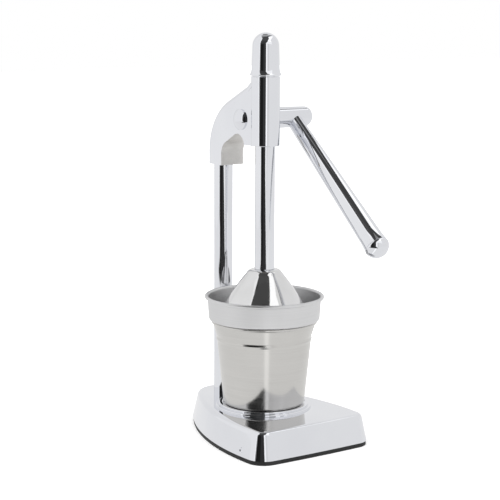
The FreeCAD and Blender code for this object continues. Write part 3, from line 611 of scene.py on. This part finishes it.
cover_piece = turned("cover_of_shaft", np.vstack([
    dome(cover_radius - cover_wall, cover_rim, cover_top - cover_wall)[::-1],
    [(cover_radius - cover_wall, cover_seat), (cover_radius, cover_seat)],
    dome(cover_radius, cover_rim, cover_top),
]), centre=pivot, axes=leftward, steps=96)
stands_for(cover_piece, "frame", "shaft_cover", bright_chrome)


# Thrust washer
# A black nylon washer between the head and the lever's hub. It keeps the plated faces from
# rubbing as the lever turns.
nylon = finish("black_nylon", ((0.012, 0.012, 0.013), (0.024, 0.024, 0.026)), (700.0, 2.0),
               (700.0, 2.0), (0.34, 0.5), metallic=0.0, cloud_spread=(0.0, 1.0))
finish_node("thrust_washer", nylon)


# Lever hub
# A turned and chromed hub, pinned across the shaft, with a rounded free end. The arm is
# pressed into a socket in its side.
hub_start = 13.8 * mm
hub_end = 67.5 * mm
collar_end = 20.0 * mm
groove_radius = 10.0 * mm
hub_bore = 6.1 * mm
hub_bore_end = 37.5 * mm
hub_piece = turned("hub_of_lever", rounded(
    (0.0, hub_bore_end),
    (hub_bore, hub_bore_end),
    (hub_bore, hub_start),
    (10.5 * mm, hub_start, 0.8 * mm),
    (10.4 * mm, collar_end - 0.3 * mm),
    (groove_radius, collar_end),
    (groove_radius, collar_end + 0.5 * mm),
    (10.35 * mm, collar_end + 0.8 * mm),
    (9.5 * mm, hub_end, 7.0 * mm),
    (0.0, hub_end),
    steps=16), centre=pivot, axes=rightward)
stands_for(hub_piece, "lever", "lever_hub", bright_chrome)
finish_node("hub_pin", steel)


# Lever arm and end cap
# The arm is a chromed steel tube that widens to a flare at its free end. The cap is a domed
# plug, chromed and pressed into the tube.
arm_x = 46.5 * mm
arm_drop = math.radians(39.6)
arm_length = 168.0 * mm
flare_start = 153.0 * mm
arm_centre = pivot + np.array([arm_x, 0.0, 0.0])
arm_axes = ((1.0, 0.0, 0.0), (0.0, math.sin(arm_drop), -math.cos(arm_drop)),
            (0.0, -math.cos(arm_drop), -math.sin(arm_drop)))
arm_bore = 8.9 * mm
plug_radius = 8.85 * mm
end_radius = 11.6 * mm
end_seat = 169.2 * mm
arm_flare = arc_through((10.5 * mm, flare_start), (10.8 * mm, 160.5 * mm),
                        (11.5 * mm, arm_length), 12)
arm_profile = np.vstack([
    [(0.0, 16.0 * mm), (5.75 * mm, 16.0 * mm), (arm_bore, flare_start), (arm_bore, arm_length),
     (11.2 * mm, arm_length)],
    arm_flare[:0:-1] - np.array([0.0, 0.15 * mm]),
    [(10.5 * mm, flare_start), (7.35 * mm, 12.0 * mm), (7.35 * mm, 2.5 * mm), (0.0, 2.5 * mm)],
])
arm_piece = turned("tube_of_lever", arm_profile, centre=arm_centre, axes=arm_axes)
stands_for(arm_piece, "lever", "lever_arm", bright_chrome)

end_profile = np.vstack([
    [(0.0, 161.0 * mm), (plug_radius, 161.0 * mm), (plug_radius, arm_length)],
    rounded((plug_radius, arm_length), (11.5 * mm, arm_length, 0.25 * mm),
            (end_radius, end_seat), steps=4)[1:-1],
    dome(end_radius, end_seat, 178.5 * mm),
])
end_piece = turned("end_of_lever", end_profile, centre=arm_centre, axes=arm_axes)
stands_for(end_piece, "lever", "lever_end_cap", bright_chrome)


# Rack rod
# A ground and chromed bar that slides in the barrel. A rack is cut into its rear side, and its
# foot is tapped for the bell's screw.
rod_radius = 9.3 * mm
rod_low_z = 160.6 * mm
rod_top_z = 325.0 * mm
rack_pitch = math.pi * 1.5 * mm
rack_tip_y = 8.5 * mm
rack_root_y = 5.125 * mm
rack_low_z = pivot[2] - 11.5 * rack_pitch
rack_high_z = pivot[2] + 2.5 * rack_pitch
space_at_root = 0.535 * mm
space_at_tip = 1.764 * mm


def rack_rod():
    """Round bar whose rear is planed to the rack: a point's depth is the lesser of the bar's
    round and the rack's profile at that height, which runs straight from tip to root."""
    spaces = pivot[2] + rack_pitch * np.arange(-11, 3)
    steps = np.array([-space_at_tip, -space_at_root, space_at_root, space_at_tip])
    tooth_z = (spaces[:, None] + steps[None, :]).ravel()
    tooth_y = np.tile([rack_tip_y, rack_root_y, rack_root_y, rack_tip_y], len(spaces))
    no_cut = 2.0 * rod_radius
    low = [(0.0, rod_low_z), (rod_radius - 0.6 * mm, rod_low_z),
           (rod_radius, rod_low_z + 0.6 * mm), (rod_radius, rack_low_z - 0.01 * mm)]
    high = [(rod_radius, rack_high_z + 0.01 * mm), (rod_radius, rod_top_z - 1.5 * mm),
            (rod_radius - 1.5 * mm, rod_top_z), (0.0, rod_top_z)]
    radius = np.concatenate([[r for r, z in low], np.full(len(tooth_z) + 2, rod_radius),
                             [r for r, z in high]])
    height = np.concatenate([[z for r, z in low], [rack_low_z], tooth_z, [rack_high_z],
                             [z for r, z in high]])
    cut = np.concatenate([np.full(len(low), no_cut), [rack_tip_y], tooth_y, [rack_tip_y],
                          np.full(len(high), no_cut)])
    edge = [math.asin(rack_tip_y / rod_radius), math.asin(rack_root_y / rod_radius)]
    angle = np.unique(np.round(np.concatenate([
        np.linspace(0.0, 2.0 * math.pi, 96, endpoint=False), edge,
        [math.pi - side for side in edge]]), 9))
    x = radius[:, None] * np.cos(angle)
    y = np.minimum(radius[:, None] * np.sin(angle), cut[:, None])
    return skin("rod_with_rack", joined(x, y, height[:, None]))


rod_piece = rack_rod()
stands_for(rod_piece, "plunger", "rack_rod", bright_chrome)


# Press bell, its washer and its screw
# A thin bell spun from stainless sheet and mirror polished. A screw through its boss holds it
# to the rod, with a nylon washer between them.
bell_top_z = 159.0 * mm
bell_rim_z = 112.0 * mm
bell_wall = 1.8 * mm


def thickened(outer, wall):
    """Closed profile of a sheet: the outer line, a half round over its free edge, and the line
    at one wall's distance from it. The normal is the line's direction turned a quarter."""
    along = np.gradient(outer, axis=0)
    along /= np.linalg.norm(along, axis=1)[:, None]
    inward = np.stack([along[:, 1], -along[:, 0]], axis=-1)
    inner = outer + wall * inward
    inner[:, 0] = np.maximum(inner[:, 0], 0.0)
    centre = (outer[-1] + inner[-1]) / 2.0
    turn = np.linspace(0.0, math.pi, 9)[1:-1, None]
    over = centre + wall / 2.0 * (-inward[-1] * np.cos(turn) + along[-1] * np.sin(turn))
    return np.vstack([outer, over, inner[::-1]])


def eased(points, spacing, window):
    """Line through points, resampled at an even spacing and averaged over a window, so that its
    corners turn into soft bends. Its ends stay."""
    run = np.concatenate([[0.0], np.cumsum(np.linalg.norm(np.diff(points, axis=0), axis=1))])
    even = np.linspace(0.0, run[-1], int(run[-1] / spacing) + 1)
    line = np.stack([np.interp(even, run, points[:, k]) for k in (0, 1)], axis=-1)
    half = int(window / spacing / 2.0)
    padded = np.vstack([2.0 * line[0] - line[half:0:-1], line,
                        2.0 * line[-1] - line[-2:-half - 2:-1]])
    weights = np.hanning(2 * half + 3)[1:-1]
    weights /= weights.sum()
    return np.stack([np.convolve(padded[:, k], weights, mode="valid") for k in (0, 1)], axis=-1)


bell_shoulder = (15.2 * mm, 156.2 * mm)
bell_skirt = (36.6 * mm, 124.6 * mm)
bell_outer = np.vstack([
    [(0.0, bell_top_z), (10.9 * mm, bell_top_z)],
    arc_through((11.2 * mm, bell_top_z), (13.6 * mm, 158.3 * mm), bell_shoulder, 8),
    arc_through(bell_shoulder, (26.4 * mm, 141.3 * mm), bell_skirt, 24)[1:],
    arc_through(bell_skirt, (38.4 * mm, 118.0 * mm), (39.0 * mm, bell_rim_z + 0.9 * mm), 10)[1:],
])
bell_line = eased(bell_outer, 0.5 * mm, 3.0 * mm)
bell_line[0] = (0.0, bell_top_z)
bell_piece = turned("bell_of_plunger", thickened(bell_line, -bell_wall), steps=192)


# Spun stainless steel, mirror polished: neutral grey, with fine rings left by the wheel.
mirror = finish("mirror_steel", ((0.70, 0.70, 0.70), (0.76, 0.76, 0.765)), (25.0, 3.0),
                (30.0, 2.0, (1.0, 1.0, 40.0)), (0.05, 0.10), 0.003 * mm,
                cloud_spread=(0.35, 0.65))
stands_for(bell_piece, "plunger", "press_bell", mirror)
finish_node("bell_washer", nylon)
finish_node("bell_screw", steel)


# Juice cup
# A cup drawn from stainless sheet and brushed round and round. It has a flared mouth with a
# rolled lip, and it stands loose in the base's seat.
cup_wall = 0.9 * mm
cup_foot_z = 32.4 * mm
cup_foot_radius = 38.2 * mm
cup_mouth = np.array([48.8 * mm, 110.6 * mm])
cup_lip_roll = 1.3 * mm
cup_lip_z = 111.38 * mm


def roll_over(outer, inner, centre, roll):
    """Closed profile of a sheet with a rolled lip: up the outer line, round a circle about the
    lip's centre, and down the inner line."""
    first = math.atan2(*(outer[-1] - centre)[::-1])
    last = math.atan2(*(inner[0] - centre)[::-1])
    sweep = (last - first) % (2.0 * math.pi)
    turn = first + sweep * np.linspace(0.0, 1.0, 25)[:, None]
    return np.vstack([outer[:-1], centre + roll * np.hstack([np.cos(turn), np.sin(turn)]),
                      inner[1:]])


def brushed_steel(name, tone, rough):
    """Stainless sheet brushed round the axis, with hair-fine lines that stretch each highlight
    up and down."""
    made, tree, place, shader = new_finish(name)
    hair = noise(tree, place, 12.0, 4.0, (1.0, 1.0, 260.0))
    cloud = noise(tree, place, 22.0, 3.0)
    worn = maths(tree, "MULTIPLY_ADD", hair, 0.6, maths(tree, "MULTIPLY", cloud, 0.4))
    light = tuple(channel * 1.10 for channel in tone)
    shade = blend(tree, remap(tree, worn, 0.35, 0.65), tone, light)
    tree.links.new(shade, shader.inputs["Base Color"])
    tree.links.new(remap(tree, hair, 0.3, 0.7, rough - 0.04, rough + 0.05),
                   shader.inputs["Roughness"])
    shader.inputs["Metallic"].default_value = 1.0
    shader.inputs["Anisotropic"].default_value = 0.55
    tangent = node(tree, "ShaderNodeTangent", direction_type="RADIAL", axis="Z")
    tree.links.new(tangent.outputs[0], shader.inputs["Tangent"])
    relief(tree, shader, hair, 0.002 * mm)
    return made


cup_line = rounded(
    (0.0, cup_foot_z),
    (cup_foot_radius - 0.1 * mm, cup_foot_z, 3.0 * mm),
    (44.35 * mm, 93.0 * mm, 3.0 * mm),
    (45.15 * mm, 95.0 * mm, 1.2 * mm),
    (44.65 * mm, 97.4 * mm, 2.5 * mm),
    (48.71 * mm, 110.3 * mm),
    (cup_mouth[0], cup_mouth[1]),
)
cup_inner = thickened(cup_line, -cup_wall)[len(cup_line) + 7:]
cup_piece = turned("cup_for_juice", roll_over(
    cup_line, cup_inner, np.array([cup_mouth[0], cup_lip_z]), cup_lip_roll), steps=192)
brushed = brushed_steel("brushed_steel", (0.585, 0.575, 0.557), 0.15)
stands_for(cup_piece, "cup", "juice_cup", brushed)


# Strainer bowl
# A bowl pressed from stainless sheet and satin polished. Its band rests on the cup's lip, its
# rim is rolled, and a ring of slots in its floor drains the juice and keeps back the pips.
bowl_wall = 0.9 * mm
bowl_floor_z = 92.5 * mm
bowl_rim = np.array([54.7 * mm, 134.6 * mm])
bowl_rim_roll = 1.6 * mm
slot_count = 28
slot_half_width = 1.1 * mm
slot_start = 27.0 * mm
slot_end = 37.0 * mm
slot_land_steps = 5

bowl_line = rounded(
    (7.0 * mm, bowl_floor_z),
    (slot_start, bowl_floor_z),
    (slot_end, bowl_floor_z),
    (42.9 * mm, bowl_floor_z, 3.5 * mm),
    (42.94 * mm, 97.0 * mm, 2.0 * mm),
    (46.69 * mm, 108.0 * mm, 4.0 * mm),
    (47.15 * mm, 113.0 * mm, 1.2 * mm),
    (52.2 * mm, 113.0 * mm, 2.0 * mm),
    (53.57 * mm, 134.2 * mm),
    (53.6 * mm, 134.6 * mm),
    steps=6)


def slotted_bowl():
    """The bowl's line turned round its axis, with columns that keep to the slots' edges: an
    edge lies at asin(half width / radius) from its slot's middle. Cells in a slot are left
    out, and a wall's thickness is added inwards."""
    radius = np.clip(bowl_line[:, 0], slot_start, slot_end)
    edge = np.arcsin(slot_half_width / radius)[:, None]
    pitch = 2.0 * math.pi / slot_count
    land = np.linspace(0.0, 1.0, slot_land_steps + 1)[None, :-1]
    sector = np.concatenate([-edge, edge * (1.0 - land) + (pitch - edge) * land], axis=1)
    angle = sector[:, None, :] + pitch * np.arange(slot_count)[None, :, None]
    angle = angle.reshape(len(bowl_line), -1)
    grid = joined(bowl_line[:, :1] * np.cos(angle), bowl_line[:, :1] * np.sin(angle),
                  bowl_line[:, 1:])
    columns = np.arange(angle.shape[1])
    in_slot = ((bowl_line[:-1, 0] > slot_start - 1e-6) & (bowl_line[1:, 0] < slot_end + 1e-6)
               & (bowl_line[1:, 1] < bowl_floor_z + 0.1 * mm))
    kept = ~(in_slot[:, None] & (columns % (slot_land_steps + 1) == 0))
    return surface("bowl_of_strainer", grid.reshape(-1, 3), cells(*angle.shape, False)[kept],
                   usual_crease)


bowl_piece = slotted_bowl()
wall_of_bowl = bowl_piece.modifiers.new("wall", "SOLIDIFY")
wall_of_bowl.thickness = bowl_wall
wall_of_bowl.offset = -1.0
satin = brushed_steel("satin_steel", (0.68, 0.68, 0.685), 0.36)
stands_for(bowl_piece, "strainer", "strainer_bowl", satin)
rim_turn = np.linspace(0.0, 2.0 * math.pi, 20, endpoint=False)[:, None]
rim_piece = turned("rim_of_strainer", bowl_rim + bowl_rim_roll
                   * np.hstack([np.cos(rim_turn), np.sin(rim_turn)]), steps=192, looped=True)
stands_for(rim_piece, "strainer", "strainer_bowl", satin)


# Reamer cone
# A cone cast in stainless steel, fluted and polished, on a flange that rests on the bowl's
# floor. Its spigot keeps it in the bowl's hole.
flange_radius = 25.0 * mm
reamer_seat_z = 93.4 * mm
reamer_base_z = 94.6 * mm
reamer_base_radius = 22.0 * mm
reamer_tip_radius = 4.0 * mm
reamer_top_z = 140.0 * mm
reamer_bulge = 0.72
flute_count = 10
flute_radius = 3.4 * mm
flute_offset = 2.6 * mm
flute_crease = math.radians(40.0)


def fluted_cone():
    """Cone whose radius at a height is the lesser of its own profile and of the flute's wall:
    c * cos a - sqrt(r squared - (c * sin a) squared), for a flute of radius r whose middle line
    runs at c from the axis, at the angle a from that line. Out of a flute the wall is far off."""
    far_off = 99.0
    neck_z = reamer_top_z - reamer_tip_radius + 1.0 * mm
    cone = arc_through((reamer_base_radius, reamer_base_z),
                       (reamer_base_radius * reamer_bulge, (reamer_base_z + neck_z) / 2.0),
                       (reamer_tip_radius, neck_z), 36)
    foot = [(0.0, bowl_floor_z), (6.9 * mm, bowl_floor_z), (6.9 * mm, reamer_seat_z),
            (flange_radius - 0.3 * mm, reamer_seat_z), (flange_radius, reamer_seat_z + 0.3 * mm),
            (flange_radius, reamer_base_z - 0.3 * mm), (flange_radius - 0.3 * mm, reamer_base_z)]
    fade = np.concatenate([np.full(len(foot), far_off), np.zeros(len(cone) + 12)])
    profile = np.vstack([foot, cone, dome(reamer_tip_radius, neck_z, reamer_top_z, 12)[1:]])
    angle = np.linspace(0.0, 2.0 * math.pi, flute_count * 24, endpoint=False)[None, :]
    half_pitch = math.pi / flute_count
    from_flute = (angle + half_pitch) % (2.0 * half_pitch) - half_pitch
    share = (profile[:, 1:] - reamer_base_z) / (reamer_top_z - reamer_base_z)
    middle = reamer_base_radius * (1.0 - share) + reamer_tip_radius * share + flute_offset
    sideways = middle * np.sin(from_flute)
    under = np.clip(flute_radius ** 2 - sideways ** 2, 0.0, None)
    wall = np.where(under > 0.0, middle * np.cos(from_flute) - np.sqrt(under), far_off)
    rise = np.clip((profile[:, 1:] - reamer_base_z - 1.2 * mm) / (2.5 * mm), 0.0, 1.0)
    wall = wall + (1.0 - rise) * 12.0 * mm + fade[:, None]
    radius = np.minimum(profile[:, :1], np.maximum(wall, 0.3 * profile[:, :1]))
    grid = joined(radius * np.cos(angle), radius * np.sin(angle), profile[:, 1:])
    return skin("cone_of_reamer", grid, crease=flute_crease)


reamer_piece = fluted_cone()
stands_for(reamer_piece, "strainer", "reamer_cone", satin)


# Camera
# A long lens stands in front and to the left of the press, a little above its middle, and looks
# slightly down. It is placed by where the press's origin falls in the picture and how far off.
picture_side = 500
focal_pixels = 1562.0
origin_pixel = np.array([263.5, 434.5])
origin_depth = 1.4895
camera_azimuth = math.radians(-35.0)
camera_pitch = math.radians(9.46)
camera_roll = math.radians(0.25)
sensor_width_mm = 36.0

forward = np.array([-math.sin(camera_azimuth) * math.cos(camera_pitch),
                    math.cos(camera_azimuth) * math.cos(camera_pitch), -math.sin(camera_pitch)])
rightwards = np.array([math.cos(camera_azimuth), math.sin(camera_azimuth), 0.0])
upright = np.cross(rightwards, forward)
picture_right = rightwards * math.cos(camera_roll) + upright * math.sin(camera_roll)
picture_up = upright * math.cos(camera_roll) - rightwards * math.sin(camera_roll)
off_centre = (origin_pixel - picture_side / 2.0) / focal_pixels * origin_depth
camera_place = -(picture_right * off_centre[0] - picture_up * off_centre[1]
                 + forward * origin_depth)

camera_data = bpy.data.cameras.new("camera")
camera_data.sensor_width = sensor_width_mm
camera_data.lens = focal_pixels / picture_side * sensor_width_mm
camera_data.clip_start = 0.05
camera = placed("camera", camera_data)
pose = np.eye(4)
pose[:3] = np.stack([picture_right, picture_up, -forward, camera_place], axis=-1)
camera.matrix_world = Matrix(pose.tolist())
scene.camera = camera
scene.view_settings.view_transform = "Standard"


# Studio
# A pale floor and a white background under soft lamps. The tent round the press is painted
# reflection: glowing sheets that light nothing and that only glossy rays see. They are pale all
# round, with one dark gap towards the camera and bright strips beside it. The lamps are hidden
# from glossy rays, so these painted reflections give the metal all its highlights and dark
# streaks.
ambient = 0.62
floor_side = 12.0
floor_tone = 0.82
floor_lift = 0.30
floor_near = 0.13
floor_far = 0.36
tent_front = 0.9
tent_back = 1.1
tent_top = 2.0
tent_side = 1.3
underfoot_z = 0.3 * mm

world = bpy.data.worlds.new("studio")
world.use_nodes = True
scene.world = world
tree = world.node_tree
rays = node(tree, "ShaderNodeLightPath").outputs
seen = maths(tree, "MAXIMUM", rays["Is Camera Ray"],
             maths(tree, "MAXIMUM", rays["Is Glossy Ray"], rays["Is Transmission Ray"]))
tree.links.new(remap(tree, seen, 0.0, 1.0, ambient, 1.0),
               tree.nodes["Background"].inputs["Strength"])
tree.nodes["Background"].inputs["Color"].default_value = (1.0, 1.0, 1.0, 1.0)

floor_finish = bpy.data.materials.new("pale_floor")
floor_finish.use_nodes = True
tree = floor_finish.node_tree
tree.nodes.remove(tree.nodes["Principled BSDF"])
cloth = node(tree, "ShaderNodeBsdfDiffuse", (floor_tone, floor_tone, floor_tone, 1.0))
glow = node(tree, "ShaderNodeEmission", (1.0, 1.0, 1.0, 1.0))
camera_ray = node(tree, "ShaderNodeLightPath").outputs["Is Camera Ray"]
# The floor glows for camera rays only. The glow is weak near the press, so that its shadow still
# shows there, and fully white beyond floor_far, where it paints over the lamps' falloff.
place = node(tree, "ShaderNodeTexCoord").outputs["Object"]
away = node(tree, "ShaderNodeVectorMath", place, operation="LENGTH").outputs["Value"]
lift = remap(tree, away, floor_near, floor_far, floor_lift, 1.0)
tree.links.new(maths(tree, "MULTIPLY", camera_ray, lift), glow.inputs["Strength"])
tree.links.new(node(tree, "ShaderNodeAddShader", cloth.outputs[0], glow.outputs[0]).outputs[0],
               tree.nodes["Material Output"].inputs["Surface"])


def stage_sheet(name, corners, material):
    """Flat four-cornered sheet of the studio, which isn't part of the press."""
    mesh = bpy.data.meshes.new(name)
    mesh.from_pydata([tuple(corner) for corner in corners], [], [(0, 1, 2, 3)])
    mesh.materials.append(material)
    made = placed(name, mesh)
    return made


half = floor_side / 2.0
floor = stage_sheet("floor", [(-half, -half, 0), (half, -half, 0), (half, half, 0),
                              (-half, half, 0)], floor_finish)
floor.visible_glossy = False

studio_axes = np.array([rightwards, (math.sin(camera_azimuth), -math.cos(camera_azimuth), 0.0),
                        (0.0, 0.0, 1.0)])


def painted_reflection_panel(name, tone, *corners):
    """Four-cornered glowing sheet of the tent. It is a painted reflection, which lights nothing
    and which only glossy rays see. Its corners are (to the right of the camera's view, towards the
    camera, up)."""
    glowing = bpy.data.materials.new(name)
    glowing.use_nodes = True
    tree = glowing.node_tree
    tree.nodes.remove(tree.nodes["Principled BSDF"])
    lit = node(tree, "ShaderNodeEmission", (1.0, 1.0, 1.0, 1.0), tone)
    tree.links.new(lit.outputs[0], tree.nodes["Material Output"].inputs["Surface"])
    panel = stage_sheet(name, np.array(corners) @ studio_axes, glowing)
    # Hidden from all but glossy rays: the sheet is a painted reflection, not a lamp.
    for ray in ("camera", "diffuse", "shadow", "transmission", "volume_scatter"):
        setattr(panel, "visible_" + ray, False)


# The front of the tent, all painted reflection: its dark gaps paint the metal's dark streaks and
# its bright strips paint the metal's highlights. A row is a panel's name, its tone, its low and
# high edges, and its left and right ends, with the ends of the high edge after them where those
# differ.
for name, tone, low, high, left, right, *upper in (
    ("strip_left", 1.3, 0.0, 0.7, -1.3, -1.12),
    ("gap_rim_left", 0.25, 0.0, 0.7, -1.12, -0.87),
    ("gap_black", 0.003, 0.0, 0.7, -0.87, -0.68),
    ("gap", 0.016, 0.0, 0.7, -0.68, -0.3),
    ("gap_grey", 0.045, 0.15, 0.7, -0.3, 0.0),
    ("gap_rim_right", 0.22, 0.15, 0.7, 0.0, 0.05),
    ("strip_right", 1.25, 0.15, 0.7, 0.05, 0.2),
    ("front_right_near", 0.77, 0.15, 0.7, 0.2, 0.42),
    ("gap_foot", 0.035, 0.0, 0.15, -0.3, 0.28, -0.3, 0.03),
    ("strip_foot", 1.1, 0.0, 0.15, 0.28, 0.36, 0.03, 0.2),
    ("near_foot", 0.8, 0.0, 0.15, 0.36, 0.42, 0.2, 0.42),
    ("front_right", 0.88, 0.0, 0.7, 0.42, 1.3),
    ("high_left", 1.15, 0.7, 2.0, -1.3, -1.12),
    ("high_gap", 0.05, 0.7, 1.2, -1.12, 0.0, -1.12, 0.33),
    ("high_right", 1.1, 0.7, 1.2, 0.0, 1.3, 0.33, 1.3),
    ("eaves_gap", 0.075, 1.2, 2.0, -1.12, 0.33, -1.12, 0.64),
    ("eaves_right", 1.35, 1.2, 2.0, 0.33, 1.3, 0.64, 1.3),
):
    upper_left, upper_right = upper or (left, right)
    painted_reflection_panel(name, tone, (left, tent_front, low), (right, tent_front, low),
               (upper_right, tent_front, high), (upper_left, tent_front, high))

# The ceiling, and then the cloth on the floor round the press: more painted reflection, with a
# dark bar that paints the stripe along the lever and a bright floor strip that paints the cup's
# upright highlight.
for name, tone, *corners in (
    ("top_left", 0.95, (-1.3, -1.1), (-0.75, -1.1), (-0.75, 0.48), (-1.3, 0.48)),
    ("top_corner", 1.1, (-1.3, 0.48), (-0.75, 0.48), (-1.15, 0.9), (-1.3, 0.9)),
    ("top_gap_left", 0.05, (-0.75, 0.48), (-0.75, 0.9), (-0.95, 0.9), (-1.15, 0.9)),
    ("top_gap_front", 0.085, (-0.75, 0.5), (0.68, 0.5), (0.64, 0.9), (-0.75, 0.9)),
    ("top_gap", 0.06, (-0.75, 0.15), (0.45, 0.15), (0.68, 0.5), (-0.75, 0.5)),
    # Painted reflection: the dark stripe along the lever.
    ("top_bar", 0.06, (0.2, 0.15), (0.45, 0.15), (1.14, -1.1), (0.89, -1.1)),
    ("top_grey", 0.25, (-0.75, -0.25), (0.42, -0.25), (0.2, 0.15), (-0.75, 0.15)),
    ("top_dim", 0.45, (-0.75, -0.75), (0.7, -0.75), (0.42, -0.25), (-0.75, -0.25)),
    ("top_spot", 0.05, (-0.45, -1.1), (0.25, -1.1), (0.25, -0.75), (-0.45, -0.75)),
    ("beyond_spot", 0.92, (-0.75, -1.1), (-0.45, -1.1), (-0.45, -0.75), (-0.75, -0.75)),
    ("beside_spot", 0.7, (0.25, -1.1), (0.89, -1.1), (0.7, -0.75), (0.25, -0.75)),
    ("top_bright", 1.3, (1.14, -1.1), (1.3, -1.1), (1.3, 0.15), (0.45, 0.15)),
    ("top_right", 1.3, (0.45, 0.15), (1.3, 0.15), (1.3, 0.5), (0.68, 0.5)),
    ("top_right_front", 1.35, (0.68, 0.5), (1.3, 0.5), (1.3, 0.9), (0.64, 0.9)),
):
    painted_reflection_panel(name, tone, *[(*corner, tent_top) for corner in corners])
for name, tone, *corners in (
    ("foot", 0.9, (-1.3, -1.1), (1.3, -1.1), (1.3, 0.05), (-1.3, 0.05)),
    ("foot_left", 0.9, (-1.3, 0.05), (0.0, 0.05), (0.005, 0.38), (-1.3, 0.38)),
    ("foot_left_far", 0.9, (-1.3, 0.38), (-0.77, 0.38), (-0.68, 0.68), (-1.3, 0.68)),
    ("foot_middle", 0.9, (-0.77, 0.38), (0.005, 0.38), (0.007, 0.52), (-0.5, 0.52)),
    ("foot_middle_far", 0.9, (-0.5, 0.52), (0.007, 0.52), (0.01, 0.68), (-0.25, 0.68)),
    # Painted highlight: the bright upright streak on the cup.
    ("foot_strip", 1.2, (0.0, 0.05), (0.006, 0.05), (0.14, 0.68), (0.01, 0.68)),
    ("foot_right", 0.9, (0.006, 0.05), (1.3, 0.05), (1.3, 0.68), (0.14, 0.68)),
    ("foot_corner", 0.9, (-1.3, 0.68), (-0.68, 0.68), (-0.87, 0.9), (-1.3, 0.9)),
    ("foot_black_near", 0.003, (-0.77, 0.38), (-0.5, 0.52), (-0.5, 0.68), (-0.68, 0.68)),
    ("foot_gap_near", 0.02, (-0.5, 0.52), (-0.375, 0.6), (-0.25, 0.68), (-0.5, 0.68)),
    ("foot_black", 0.003, (-0.68, 0.68), (-0.53, 0.68), (-0.68, 0.9), (-0.87, 0.9)),
    ("foot_gap", 0.03, (-0.53, 0.68), (0.0, 0.68), (0.0, 0.9), (-0.68, 0.9)),
    ("foot_gap_right", 0.03, (0.0, 0.68), (0.22, 0.68), (0.3, 0.9), (0.0, 0.9)),
    ("foot_front", 0.95, (0.22, 0.68), (1.3, 0.68), (1.3, 0.9), (0.3, 0.9)),
):
    painted_reflection_panel(name, tone, *[(*corner, underfoot_z) for corner in corners])

for side, across, tone in (("left", -tent_side, 0.95), ("right", tent_side, 0.88)):
    painted_reflection_panel("side_" + side, tone, (across, -tent_back, 0.0), (across, tent_front, 0.0),
               (across, tent_front, tent_top), (across, -tent_back, tent_top))
painted_reflection_panel("back", 0.88, (-tent_side, -tent_back, 0.0), (tent_side, -tent_back, 0.0),
           (tent_side, -tent_back, tent_top), (-tent_side, -tent_back, tent_top))


def soft_lamp(name, place, aim_z, side, power):
    """Square lamp, placed as a tent panel's corner is, that faces a point over the origin."""
    data = bpy.data.lights.new(name, "AREA")
    data.size = side
    data.energy = power
    lamp = placed(name, data)
    lamp.location = np.array(place) @ studio_axes
    away = lamp.location.copy()
    away.z -= aim_z
    lamp.rotation_mode = "QUATERNION"
    lamp.rotation_quaternion = away.to_track_quat("Z", "Y")
    lamp.visible_glossy = False


soft_lamp("key_lamp", (-0.8, 0.9, 1.6), 0.15, 1.2, 14.0)
soft_lamp("fill_lamp", (1.2, 0.7, 1.1), 0.15, 1.4, 8.0)
soft_lamp("top_lamp", (0.1, -0.5, 1.8), 0.1, 1.6, 9.0)
